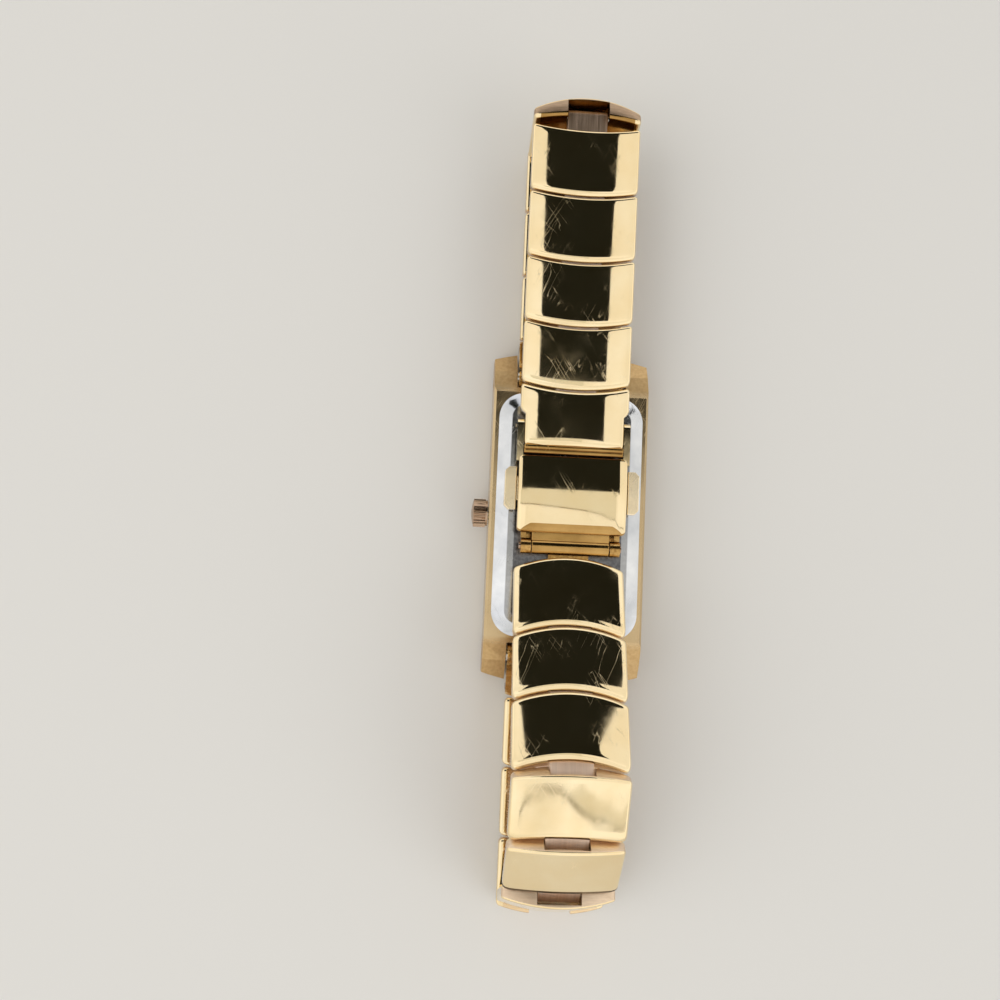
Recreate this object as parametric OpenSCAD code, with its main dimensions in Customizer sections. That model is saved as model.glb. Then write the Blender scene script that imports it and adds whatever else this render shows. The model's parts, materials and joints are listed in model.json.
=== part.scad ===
// Rectangular bracelet watch, lying on its crystal with the closed bracelet folded flat over the case back.
// The origin is the centre of the crystal's outer face. +Z points up to the case back, +Y to 12 o'clock,
// and the crown points along -X. Each half of the bracelet is a chain of hinged links that starts at a lug.

/* [Case] */
// Width of the case across its middle
case_w = 19.4; // [19:0.1:20.4]
// Length of the case from lug tip to lug tip
case_len = 40.8; // [40:0.1:43]
// Height of the case middle without crystal and back
case_h = 5.15; // [5:0.05:6]
// Radius of the curved ends, seen from above
case_end_r = 32; // [26:1:60]
// Bevel along the long edges of the case
case_bevel = 0.3; // [0.2:0.05:0.5]
// Height that each lug tip keeps
lug_tip_h = 1.3; // [1:0.1:1.8]
// Length of the flat facet on each lug tip
lug_facet = 2.4; // [1.5:0.1:3]
// Distance from the lug tip to the spring bar
lug_pin_inset = 3; // [2.8:0.1:3.3]
// Height of the spring bar above the crystal's face
lug_pin_z = 3; // [2.8:0.1:3.3]

/* [Case back] */
// Width of the case's rim beside the case back
back_rim = 0.75; // [0.6:0.05:1]
// Length of the case back
back_len = 30; // [29:0.1:30.4]
// Thickness of the case back outside the case
back_h = 1.1; // [0.9:0.1:1.4]
// Corner radius of the case back
back_r = 3.1; // [2.4:0.1:4]
// Width of the bevel round the case back
back_bevel = 1.6; // [1:0.1:1.9]

/* [Crystal and dial] */
// Width of the crystal
crystal_w = 15.2; // [14:0.1:15.6]
// Length of the crystal
crystal_len = 27.2; // [25:0.1:27.6]
// Thickness of the crystal
crystal_t = 1.3; // [1:0.1:1.4]
// Corner radius of the crystal
crystal_r = 1.8; // [1:0.1:2.5]
// How far the crystal stands out of the case
crystal_proud = 0.35; // [0.2:0.05:0.5]
// Thickness of the crystal's gasket
gasket_t = 0.25; // [0.2:0.05:0.4]
// Distance from the crystal to the dial
dial_gap = 1.05; // [1.05:0.05:1.3]
// Thickness of the dial
dial_t = 0.4; // [0.3:0.05:0.5]
// Length of the minute hand
minute_len = 6.5; // [5.5:0.1:6.8]
// Length of the hour hand
hour_len = 4.6; // [3.5:0.1:5.2]

/* [Movement] */
// Width of the movement
movement_w = 12.6; // [11.5:0.1:13]
// Length of the movement
movement_len = 18; // [16:0.1:20]
// Thickness of the movement's plate
movement_t = 1.5; // [1.4:0.05:1.6]
// Diameter of the battery
battery_d = 6.8; // [5.8:0.1:7.9]

/* [Crown] */
// Diameter of the crown
crown_d = 3.5; // [3:0.1:3.8]
// Length of the crown outside the case
crown_len = 2; // [1.4:0.1:2.4]
// Diameter of the winding stem
stem_d = 0.9; // [0.8:0.05:1]
// Number of grooves round the crown
crown_grooves = 26; // [18:1:32]
// How far the crown pulls out
crown_pull = 0.9; // [0.6:0.1:1]

/* [Bracelet] */
// Width of the links
link_w = 13.2; // [12.6:0.1:13.6]
// Thickness of a link at its crown
link_t = 2.6; // [2.5:0.05:2.8]
// Height of the crown above the link's long edges
link_dome = 1.1; // [0.8:0.05:1.15]
// Depth of the curve at a link's ends
link_bow = 1.05; // [0.8:0.05:1.1]
// Joint spacing of the links beside the case
link_pitch = 8.5; // [8.2:0.1:8.8]
// How much shorter each link towards the clasp is than the one before
pitch_step = 0.2; // [0.1:0.05:0.25]
// Joint spacing of the short end links that fit between the lugs
end_pitch = 4.1; // [3.9:0.1:4.6]
// Height above the table of the end links' flattened tips
end_tip_lift = 0.03; // [0.02:0.01:0.05]
// Joint spacing of the link that carries the clasp
clasp_link_pitch = 8.8; // [8.5:0.1:9.2]
// Gap between two links when the bracelet is straight
link_gap = 0.3; // [0.3:0.05:0.4]
// Width of the tongue of a link
tongue_w = 4.9; // [4:0.1:6]
// Diameter of the link pins
pin_d = 0.9; // [0.8:0.05:0.95]
// Distance from a link pin to the link's inner face
pin_in = 0.85; // [0.85:0.05:0.95]
// Distance from a link pin to the tip of its link
pin_tip = 1.9; // [1.9:0.05:2.1]
// Depth of the bevel along the inner edges of a link
link_bevel = 0.4; // [0.4:0.05:0.5]
// Lie of the upright link at the 12 o'clock fold, in degrees
fold_12 = 77; // [72:1:84]
// Lie of the upright link at the 6 o'clock fold, in degrees
fold_6 = 109; // [100:1:110]

/* [Clasp] */
// Length of the clasp's cover
cover_len = 9.2; // [8.8:0.1:9.4]
// Width of the clasp's cover
cover_w = 13.05; // [12.6:0.05:13.3]
// Thickness of the cover at its middle
cover_t = 1; // [0.9:0.05:1.2]
// Radius of the cover's curve along the bracelet
cover_r = 26.5; // [22:0.5:40]
// Diameter of the hinge barrel
barrel_d = 1.9; // [1.7:0.05:2]
// Diameter of the hinge pin
hinge_pin_d = 0.6; // [0.5:0.05:0.7]
// Length of a push button along the bracelet
button_len = 5.2; // [4.6:0.1:5.6]
// How far a push button stands out of the clasp
button_out = 1.6; // [1.3:0.1:1.8]
// How far a push button travels
button_travel = 0.7; // [0.5:0.05:0.75]
// Thickness of the clasp's floor
floor_t = 0.55; // [0.5:0.05:0.6]
// Thickness of the side ears
ear_t = 0.77; // [0.65:0.01:0.85]
// Length of the side ears past the clasp's front wall
ear_len = 4.7; // [4.2:0.1:5]

/* [Hidden] */
$fn = 64;
fine = 180;
very_fine = 720;
eps = 0.01;

// Clearances
fit_gap = 0.02;
run_gap = 0.04;
slide_gap = 0.1;
floor_gap = 0.15;
ride_gap = 0.15;

// Case levels and places
back_w = case_w - 2 * back_rim;
front_z = crystal_proud;
back_z = front_z + case_h;
top_z = back_z + back_h;
lug_tip_y = case_len / 2;
lug_pin_y = lug_tip_y - lug_pin_inset;
end_barrel_r = 1.4;
lug_gap_y = lug_pin_y - end_barrel_r - 0.2;
lug_gap_w = link_w + 0.5;
lug_bend_y = back_len / 2 + 0.2;
lug_facet_z = lug_pin_z + 1.35;
bar_r = 0.75;
bar_tip_r = 0.4;
bar_tip_len = 1.1;

// Levels between crystal and case back
crystal_seat_w = crystal_w + 2 * gasket_t;
crystal_seat_len = crystal_len + 2 * gasket_t;
cavity_w = crystal_w + 0.2;
cavity_len = crystal_len - 0.2;
cavity_r = 2;
sight_inset = 1;
dial_z = crystal_t + dial_gap;
plate_z = dial_z + dial_t + 0.02;
plug_h = 0.9;
marker_t = 0.2;
hand_t = 0.15;
minute_z = crystal_t + 0.15;
hour_z = minute_z + 0.36;
wheel_z = plate_z + 0.06;
pinion_r = 0.47;
hour_tube_r = 0.72;
post_r = 0.25;
wheel_r = 2.1;

// Movement pieces
battery_inset = 0.6;
battery_floor = 0.5;
battery_t = 1.5;
battery_cap_t = 0.15;
battery_y = -movement_len / 2 + battery_d / 2 + battery_inset;
clamp_w = 1.8;
clamp_t = 0.15;
clamp_foot = 0.8;
clamp_inset = 0.4;
coil_inset = 1.7;
coil_r = 0.9;
coil_len = 5.6;
core_r = 0.45;
core_len = 7.4;
coil_y = movement_len / 2 - coil_inset;
board_y = 1.5;
board_inset = 0.5;
board_t = 0.2;

// Crown and stem
stem_z = plate_z + movement_t / 2;
crown_x = -case_w / 2 - 0.15;
tube_r = stem_d / 2 + 0.35;
stem_in = 3.9;
lever_x = -4.9;
lever_t = 0.36;

// Links
tip_r = (pow(link_w / 2, 2) + pow(link_bow, 2)) / (2 * link_bow);
dome_r = (pow(link_w / 2, 2) + pow(link_dome, 2)) / (2 * link_dome);
pin_out = link_t - pin_in;
tongue_r = pin_in;
slot_w = tongue_w + 2 * slide_gap;
slot_ceiling = tongue_r + 0.4;
slot_depth = 1.5;
pin_recess = 0.15;
pin_len = link_w - 2 * pin_recess;
tongue_root = 0.5;

// Joint spacings of both halves, from the case towards the clasp
pitch_12 = [end_pitch, link_pitch, link_pitch, link_pitch, link_pitch, link_pitch - pitch_step,
    link_pitch - 2 * pitch_step, link_pitch - 3 * pitch_step, link_pitch - 4 * pitch_step];
pitch_6 = [end_pitch, link_pitch, link_pitch, link_pitch, link_pitch, link_pitch - pitch_step,
    link_pitch - 2 * pitch_step, link_pitch - 3 * pitch_step, link_pitch - 4 * pitch_step, clasp_link_pitch];

// Lie of each link, in degrees from the direction away from the case, turning up
// The end links slope down until the next links lie on the surface under the watch
droop = asin((lug_pin_z - floor_gap - pin_out) / end_pitch);
ride_z = top_z + ride_gap + 1.85;
rise_6 = [fold_6, 139, 161];
fold_top_12 = lug_pin_z - end_pitch * sin(droop) + link_pitch * sin(fold_12);
slope_12 = asin((fold_top_12 - ride_z) / (pitch_12[5] + pitch_12[6] + pitch_12[7] + pitch_12[8]));
lay_12 = [-droop, 0, 0, 0, fold_12, 180 + slope_12, 180 + slope_12, 180 + slope_12, 180 + slope_12, 180];
fold_top_6 = lug_pin_z - end_pitch * sin(droop) + pitch_6[4] * sin(rise_6[0])
    + pitch_6[5] * sin(rise_6[1]) + pitch_6[6] * sin(rise_6[2]);
slope_6 = asin((fold_top_6 - ride_z) / (pitch_6[7] + pitch_6[8] + pitch_6[9]));
lay_6 = [-droop, 0, 0, 0, rise_6[0], rise_6[1], rise_6[2], 180 + slope_6, 180 + slope_6, 180 + slope_6, 180];

// Place of joint k along a half, as [distance from the case centre, height]
function joint_at(k, pitch, lay) = k == 0 ? [lug_pin_y, lug_pin_z]
    : joint_at(k - 1, pitch, lay) + pitch[k - 1] * [cos(lay[k - 1]), sin(lay[k - 1])];
joints_12 = [for (k = [0:9]) joint_at(k, pitch_12, lay_12)];
joints_6 = [for (k = [0:10]) joint_at(k, pitch_6, lay_6)];
echo(joints_12 = joints_12);
echo(joints_6 = joints_6);
echo(lay_12 = lay_12);
echo(lay_6 = lay_6);

// Clasp, measured from the joint that carries it, with y towards 12 o'clock
hinge_y = pin_tip + link_gap + barrel_d / 2 + 0.45;
hinge_z = 0.3;
knuckle_w = 1.2;
base_tongue_r = 0.75;
base_tongue_lift = 0.25;
floor_z = -1.85;
cover_y = hinge_y + barrel_d / 2 + 0.65;
cover_end = cover_y + cover_len;
cover_z = 0.7;
cover_bevel = 1.2;
wall_x = 5.95;
wall_t = 0.65;
wall_h = 2.3;
front_y = cover_end - 0.6;
front_t = 0.45;
front_lean = 0.4;
ear_x = link_w / 2 - 0.52;
ear_end = front_y + front_t + ear_len;
ear_z = -1;
ear_h = 1.6;
button_mid = cover_y + cover_len / 2 + 0.65;
button_z = -0.75;
button_h = 1.35;
stem_len = 2.9;
stem_inset = 0.25;
flange_t = 0.6;
post_w = 1;
post_len = 2.4;
post_drop = 0.3;
clasp_y = -joints_6[10][0];
catch_gap = 0.45;
lip_t = 0.45;
lip_h = 0.5;
lip_r = 0.2;
lip_level = 0.85;
lip_root = 0.55;
catch_pin_in = 1.1;
lip_gap = 0.05;
shoulder_gap = 0.45;
catch_end = clasp_y + front_y + front_t + catch_gap + 2 * lip_t + lip_gap;
catch_len = joints_12[9][0] - catch_end;
catch_neck = clasp_y + ear_end + shoulder_gap - catch_end;

gold = "#d9ab62";
rose = "#c08a5c";
steel = "#c9ccd0";

// Flat plate with rounded corners, standing on z = 0
module rounded_plate(w, l, r, h) {
    linear_extrude(h) {
        square([w - 2 * r, l], center = true);
        square([w, l - 2 * r], center = true);
        for (sx = [-1, 1], sy = [-1, 1])
            translate([sx * (w / 2 - r), sy * (l / 2 - r)]) circle(r);
    }
}

// The same plate with its upper edge bevelled all round
module bevelled_plate(w, l, r, h, bevel) {
    for (sx = [-1, 1], sy = [-1, 1])
        translate([sx * (w / 2 - r), sy * (l / 2 - r), 0]) cylinder(r1 = r, r2 = r - bevel, h = h);
    rotate([90, 0, 0])
        linear_extrude(l - 2 * r, center = true)
            polygon([[-w / 2, 0], [w / 2, 0], [w / 2 - bevel, h], [bevel - w / 2, h]]);
    rotate([90, 0, 90])
        linear_extrude(w - 2 * r, center = true)
            polygon([[-l / 2, 0], [l / 2, 0], [l / 2 - bevel, h], [bevel - l / 2, h]]);
}

// Side outline in the Y and Z directions, extruded evenly to both sides of the middle
module side_extrude(w) {
    rotate([90, 0, 90]) linear_extrude(w, center = true) children();
}

module bar_x(r, w) {
    rotate([0, 90, 0]) cylinder(r = r, h = w, center = true);
}

// Case seen from above, before the lug gaps are cut
module case_outline() {
    end_y = lug_tip_y - sqrt(pow(case_end_r, 2) - pow(lug_gap_w / 2, 2));
    intersection() {
        square([case_w, 2 * case_len], center = true);
        translate([0, end_y]) circle(case_end_r, $fn = very_fine);
        translate([0, -end_y]) circle(case_end_r, $fn = very_fine);
    }
}

// Case seen from the side: flat under the back, sloping to thin lug tips
module case_profile() {
    tip = lug_tip_y + 1;
    tip_z = lug_facet_z - (lug_facet + 1) * 0.65;
    half = [[lug_bend_y - 1, front_z], [tip, tip_z - lug_tip_h], [tip, tip_z],
        [tip - lug_facet - 1, lug_facet_z], [lug_bend_y, back_z]];
    polygon(concat(half, [for (i = [4:-1:0]) [-half[i][0], half[i][1]]]));
}

// Case seen from its ends, with the long edges bevelled
module case_section() {
    side = case_w / 2;
    half = [[side - case_bevel, front_z], [side, front_z + case_bevel], [side, back_z - case_bevel],
        [side - case_bevel, back_z]];
    polygon(concat(half, [for (i = [3:-1:0]) [-half[i][0], half[i][1]]]));
}

module case_middle() {
    color(gold) difference() {
        intersection() {
            linear_extrude(back_z) case_outline();
            side_extrude(case_w + 2) case_profile();
            rotate([90, 0, 0]) linear_extrude(2 * case_len, center = true) case_section();
        }
        translate([0, 0, -eps])
            rounded_plate(crystal_seat_w, crystal_seat_len, crystal_r + gasket_t, crystal_t + eps);
        rounded_plate(crystal_w - sight_inset, crystal_len - sight_inset, crystal_r, back_z);
        translate([0, 0, dial_z]) rounded_plate(cavity_w, cavity_len, cavity_r, case_h);
        for (s = [-1, 1]) {
            translate([-lug_gap_w / 2, s > 0 ? lug_gap_y : -lug_gap_y - case_len, -1])
                cube([lug_gap_w, case_len, case_h + 3]);
            translate([0, s * lug_pin_y, lug_pin_z])
                bar_x(bar_tip_r + fit_gap, lug_gap_w + 2 * bar_tip_len);
        }
        translate([-case_w / 2 - 1, 0, stem_z])
            rotate([0, 90, 0]) cylinder(r = tube_r + fit_gap, h = case_w / 2 - cavity_w / 2 + 2);
    }
}

module case_back() {
    base_h = 0.25;
    step_h = 0.15;
    step_in = 0.75;
    color(steel) {
        difference() {
            union() {
                translate([0, 0, back_z]) rounded_plate(back_w, back_len, back_r, base_h);
                translate([0, 0, back_z + base_h])
                    bevelled_plate(back_w, back_len, back_r, back_h - base_h - step_h, back_bevel);
                translate([0, 0, back_z])
                    rounded_plate(back_w - 2 * (back_bevel + step_in), back_len - 2 * (back_bevel + step_in),
                        max(back_r - back_bevel - step_in, 0.5), back_h);
                translate([0, 0, back_z - plug_h])
                    rounded_plate(cavity_w - 2 * fit_gap, cavity_len - 2 * fit_gap, cavity_r, plug_h + eps);
            }
            translate([0, 0, back_z - plug_h - 1])
                rounded_plate(cavity_w - 1.2, cavity_len - 1.2, cavity_r - 0.6, plug_h + 1);
            translate([0, 0, back_z - plug_h / 2]) difference() {
                rounded_plate(cavity_w + 1, cavity_len + 1, cavity_r, 0.3);
                translate([0, 0, -1])
                    rounded_plate(cavity_w - 0.6, cavity_len - 0.6, cavity_r - 0.3, 3);
            }
        }
    }
}

module back_gasket() {
    color("#202020") translate([0, 0, back_z - plug_h / 2 + 0.02]) difference() {
        rounded_plate(cavity_w - 2 * fit_gap, cavity_len - 2 * fit_gap, cavity_r, 0.26);
        translate([0, 0, -1])
            rounded_plate(cavity_w - 0.56, cavity_len - 0.56, cavity_r - 0.28, 3);
    }
}

module crystal() {
    color("#d8e6ea", 0.35) rounded_plate(crystal_w, crystal_len, crystal_r, crystal_t);
}

module crystal_gasket() {
    color("#f0f0ea") translate([0, 0, front_z]) difference() {
        rounded_plate(crystal_seat_w - fit_gap, crystal_seat_len - fit_gap, crystal_r + gasket_t,
            crystal_t - front_z);
        translate([0, 0, -1])
            rounded_plate(crystal_w + fit_gap, crystal_len + fit_gap, crystal_r, crystal_t + 2);
    }
}

module dial() {
    color("#efe3c4") translate([0, 0, dial_z]) difference() {
        rounded_plate(cavity_w - 2 * fit_gap, cavity_len - 2 * fit_gap, cavity_r, dial_t);
        translate([0, 0, -1]) cylinder(r = hour_tube_r + slide_gap, h = dial_t + 2);
    }
}

// One bar at each hour, long ones at 12, 3, 6 and 9, following the rectangle of the dial
module hour_markers() {
    half_w = (crystal_w - sight_inset) / 2 - 0.5;
    half_l = (crystal_len - sight_inset) / 2 - 0.7;
    color(gold) for (h = [0:11]) {
        a = h * 30;
        big = h % 3 == 0;
        len = big ? 2.2 : 1.5;
        reach = min(half_w / max(abs(sin(a)), eps), half_l / max(abs(cos(a)), eps));
        rotate([0, 0, a])
            translate([-0.25, reach - len, dial_z - marker_t]) cube([0.5, len - 0.1, marker_t]);
    }
}

module movement_ring() {
    ring_h = back_z - plug_h - plate_z - slide_gap;
    color("#e8e8e4") translate([0, 0, plate_z]) difference() {
        rounded_plate(cavity_w - 2 * fit_gap, cavity_len - 2 * fit_gap, cavity_r, ring_h);
        translate([0, 0, -1])
            rounded_plate(movement_w + 2 * fit_gap, movement_len + 2 * fit_gap, 1, ring_h + 2);
        translate([-cavity_w, 0, stem_z - plate_z])
            rotate([0, 90, 0]) cylinder(r = stem_d / 2 + slide_gap, h = cavity_w);
    }
}

module movement_plate() {
    color("#caa24c") difference() {
        translate([0, 0, plate_z]) union() {
            difference() {
                rounded_plate(movement_w, movement_len, 1, movement_t);
                translate([0, 0, -eps]) cylinder(r = wheel_r + slide_gap, h = 0.36);
                translate([0, 0, -eps]) cylinder(r = pinion_r + slide_gap, h = movement_t * 0.7);
            }
            translate([0, 0, hour_z - plate_z])
                cylinder(r = post_r, h = plate_z - hour_z + movement_t * 0.8);
        }
        translate([0, battery_y, plate_z + battery_floor])
            cylinder(r = battery_d / 2 + slide_gap, h = 2 * battery_t);
        translate([0, coil_y, plate_z + movement_t]) bar_x(coil_r + run_gap, core_len + slide_gap);
        translate([-movement_w, 0, stem_z])
            rotate([0, 90, 0]) cylinder(r = stem_d / 2 + slide_gap, h = movement_w - stem_in + 0.1);
        translate([lever_x - lever_t / 2 - crown_pull - slide_gap, -1.3, plate_z + 0.15])
            cube([lever_t + crown_pull + 2 * slide_gap, 2.6, movement_t]);
    }
}

module movement_coil() {
    color("#b0642c") translate([0, coil_y, plate_z + movement_t]) {
        bar_x(coil_r, coil_len);
        bar_x(core_r, core_len);
    }
}

module circuit_board() {
    board_len = coil_y - coil_r - slide_gap - board_y;
    color("#2f6b45") translate([-movement_w / 2 + board_inset, board_y, plate_z + movement_t])
        cube([movement_w - 2 * board_inset, board_len, board_t]);
}

module battery() {
    color(steel) translate([0, battery_y, plate_z + battery_floor + fit_gap]) {
        cylinder(r = battery_d / 2, h = battery_t);
        translate([0, 0, battery_t - eps]) cylinder(r = 0.82 * battery_d / 2, h = battery_cap_t);
    }
}

module battery_clamp() {
    clamp_z = plate_z + battery_floor + fit_gap + battery_t + battery_cap_t;
    foot_x = movement_w / 2 - clamp_inset - clamp_foot / 2;
    color("#b8bcc0") translate([0, battery_y, clamp_z]) {
        translate([-movement_w / 2 + clamp_inset, -clamp_w / 2, 0])
            cube([movement_w - 2 * clamp_inset, clamp_w, clamp_t]);
        for (s = [-1, 1])
            translate([s * foot_x - clamp_foot / 2, -clamp_w / 2, plate_z + movement_t - clamp_z])
                cube([clamp_foot, clamp_w, clamp_z - plate_z - movement_t + eps]);
    }
}

module crown_tube() {
    color(gold) translate([-case_w / 2 - 0.05, 0, stem_z]) rotate([0, 90, 0]) difference() {
        cylinder(r = tube_r, h = (case_w - cavity_w) / 2);
        translate([0, 0, -1]) cylinder(r = stem_d / 2 + run_gap, h = case_w);
    }
}

module spring_bars() {
    color(steel) for (s = [-1, 1]) translate([0, s * lug_pin_y, lug_pin_z]) {
        bar_x(bar_r, lug_gap_w - 0.2);
        bar_x(bar_tip_r, lug_gap_w + 2 * bar_tip_len - 0.2);
    }
}

// Grooved crown with a domed end
module crown() {
    r = crown_d / 2;
    groove = 0.14;
    dome = 0.3;
    n = crown_grooves;
    rim = [for (i = [0:n - 1], j = [0:3])
        (j < 2 ? r : r - groove) * [cos((i + j / 4) * 360 / n), sin((i + j / 4) * 360 / n)]];
    color(rose) translate([crown_x, 0, stem_z]) rotate([0, -90, 0]) difference() {
        union() {
            cylinder(r = r - 0.25, h = 0.3);
            translate([0, 0, 0.25]) linear_extrude(crown_len - 0.25 - dome) polygon(rim);
            intersection() {
                cylinder(r = r - groove, h = crown_len);
                translate([0, 0, crown_len - 5]) sphere(r = 5, $fn = fine);
            }
        }
        translate([0, 0, -1]) cylinder(r = stem_d / 2 + fit_gap, h = 2);
        translate([0, 0, -1]) cylinder(r = tube_r + slide_gap, h = 1.2);
    }
}

module winding_stem() {
    neck_r = stem_d / 2 - 0.17;
    color(steel) translate([0, 0, stem_z]) difference() {
        translate([crown_x - 0.98, 0, 0])
            rotate([0, 90, 0]) cylinder(r = stem_d / 2, h = -stem_in - crown_x + 0.98);
        translate([lever_x, 0, 0]) rotate([0, 90, 0]) difference() {
            cylinder(r = stem_d, h = lever_t + 0.1, center = true);
            cylinder(r = neck_r, h = 1, center = true);
        }
    }
}

module setting_lever() {
    neck_r = stem_d / 2 - 0.17;
    color("#9aa0a6") translate([lever_x - lever_t / 2, 0, 0]) difference() {
        translate([0, -1.2, plate_z + 0.2]) cube([lever_t, 2.4, movement_t - 0.3]);
        translate([-1, 0, stem_z]) rotate([0, 90, 0]) cylinder(r = neck_r + run_gap, h = 2);
        translate([-1, -neck_r - run_gap, stem_z]) cube([2, 2 * (neck_r + run_gap), 2]);
    }
}

// Flat hand with a round hub and a tapering arm
module hand(len, width, z, hub_r, hole_r) {
    translate([0, 0, z]) difference() {
        union() {
            cylinder(r = hub_r, h = hand_t);
            linear_extrude(hand_t)
                polygon([[-width / 2, 0], [width / 2, 0], [width / 6, len], [-width / 6, len]]);
            translate([-width / 3, -1.4, 0]) cube([width * 2 / 3, 1.4, hand_t]);
        }
        if (hole_r > 0) translate([0, 0, -1]) cylinder(r = hole_r, h = 3);
    }
}

module minute_hand() {
    color(gold) rotate([0, 0, 60]) hand(minute_len, 0.7, minute_z, 0.75, 0);
}

module cannon_pinion() {
    color(steel) translate([0, 0, minute_z + hand_t]) difference() {
        cylinder(r = pinion_r, h = plate_z + movement_t * 0.6 - minute_z - hand_t);
        translate([0, 0, 0.1]) cylinder(r = post_r + run_gap, h = 5);
    }
}

module hour_hand() {
    color(gold) rotate([0, 0, 305]) hand(hour_len, 0.9, hour_z, 0.95, pinion_r + run_gap);
}

module hour_wheel() {
    color("#c9a45a") difference() {
        union() {
            translate([0, 0, hour_z + hand_t])
                cylinder(r = hour_tube_r, h = wheel_z + 0.2 - hour_z - hand_t);
            translate([0, 0, wheel_z]) cylinder(r = wheel_r, h = 0.2);
        }
        cylinder(r = pinion_r + run_gap, h = back_z);
    }
}

// Round tip of a link's crescent outline, with the bevel along its inner edge
module tip_disc(grow) {
    rotate_extrude($fn = fine)
        polygon([[0, -link_t], [tip_r, -link_t], [tip_r, pin_in - link_bevel],
            [tip_r + grow * link_bevel, pin_in], [tip_r + grow * link_bevel, pin_in + eps],
            [0, pin_in + eps]]);
}

// Domed blank of a link lying face down, with its joint to the case side at the origin
module link_blank(from_y, to_y, w) {
    intersection() {
        translate([-w / 2, from_y, -link_t]) cube([w, to_y - from_y, link_t + pin_in]);
        translate([0, 0, dome_r - pin_out]) rotate([-90, 0, 0])
            translate([0, 0, from_y - 1]) cylinder(r = dome_r, h = to_y - from_y + 2, $fn = fine);
    }
}

// Tongue that fits the slot of the link before, bored for its pin
module tongue(reach, bore_r) {
    difference() {
        union() {
            bar_x(tongue_r, tongue_w);
            translate([-tongue_w / 2, 0, -tongue_r]) cube([tongue_w, reach, 2 * tongue_r]);
        }
        bar_x(bore_r, tongue_w + 2);
    }
}

// Slot in the inner side of a link's tip, bored for the link pin
module tip_slot(y) {
    translate([-slot_w / 2, y - slot_depth, -slot_ceiling])
        cube([slot_w, slot_depth + pin_tip + 1, slot_ceiling + pin_in + 1]);
    translate([0, y, 0]) bar_x(pin_d / 2 + fit_gap, link_w + 2);
}

module link_pin(y) {
    translate([0, y, 0]) bar_x(pin_d / 2, pin_len);
}

// Bracelet link: crescent outline, domed face, tongue at the case side and slot at the clasp side
module link(pitch) {
    color(gold) {
        difference() {
            union() {
                difference() {
                    intersection() {
                        link_blank(0, pitch + pin_tip, link_w);
                        translate([0, pitch + pin_tip - tip_r, 0]) tip_disc(-1);
                    }
                    translate([0, pin_tip + link_gap - tip_r, 0]) tip_disc(1);
                }
                tongue(pin_tip + link_gap + tongue_root, pin_d / 2 + run_gap);
            }
            tip_slot(pitch);
        }
        link_pin(pitch);
    }
}

// End link: a round barrel on the spring bar between the lugs, and a crescent tip
module end_link() {
    color(gold) {
        difference() {
            union() {
                bar_x(end_barrel_r, link_w);
                intersection() {
                    link_blank(0, end_pitch + pin_tip, link_w);
                    translate([0, end_pitch + pin_tip - tip_r, 0]) tip_disc(-1);
                }
            }
            bar_x(bar_r + run_gap, link_w + 2);
            tip_slot(end_pitch);
            rotate([droop, 0, 0]) translate([-link_w, 0, end_tip_lift - lug_pin_z - 2])
                cube([2 * link_w, 2 * end_pitch, 2]);
        }
        link_pin(end_pitch);
    }
}

// Section of a bar from one place to another, with both far corners rounded
module rounded_bar(from_y, to_y, from_z, h, r) {
    translate([from_y, from_z]) square([to_y - from_y - r, h]);
    translate([from_y, from_z + r]) square([to_y - from_y, h - 2 * r]);
    for (z = [from_z + r, from_z + h - r]) translate([to_y - r, z]) circle(r);
}

// Last link of the 12 o'clock half: plain end with two lips and a waist between the clasp's ears
module catch_link_body() {
    neck_w = 2 * (ear_x - slide_gap);
    color(gold) {
        difference() {
            union() {
                difference() {
                    link_blank(0, catch_len, link_w);
                    translate([0, pin_tip + link_gap - tip_r, 0]) tip_disc(1);
                    for (s = [-1, 1])
                        translate([s > 0 ? neck_w / 2 : -neck_w / 2 - 2, catch_len - catch_neck, -link_t])
                            cube([2, catch_neck + 1, 2 * link_t]);
                }
                side_extrude(neck_w) rounded_bar(catch_len - 1, catch_len + lip_t, lip_root - pin_out,
                    link_t - 2 * lip_root, lip_r);
                side_extrude(neck_w) rounded_bar(catch_len, catch_len + 2 * lip_t + lip_gap,
                    lip_level - pin_out, lip_h, lip_r);
                tongue(pin_tip + link_gap + tongue_root, pin_d / 2 + run_gap);
            }
            translate([0, catch_len - catch_pin_in, 0]) bar_x(pin_d / 2 + fit_gap, neck_w + 1);
        }
        translate([0, catch_len - catch_pin_in, 0]) bar_x(pin_d / 2, neck_w - 2 * pin_recess);
    }
}

// Places a link of either half at its joint
module on_12(k) {
    translate([0, joints_12[k][0], joints_12[k][1]]) rotate([lay_12[k], 0, 0]) children();
}

module on_6(k) {
    mirror([0, 1, 0]) translate([0, joints_6[k][0], joints_6[k][1]]) rotate([lay_6[k], 0, 0]) children();
}

module on_clasp() {
    translate([0, clasp_y, joints_6[10][1]]) children();
}

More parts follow.
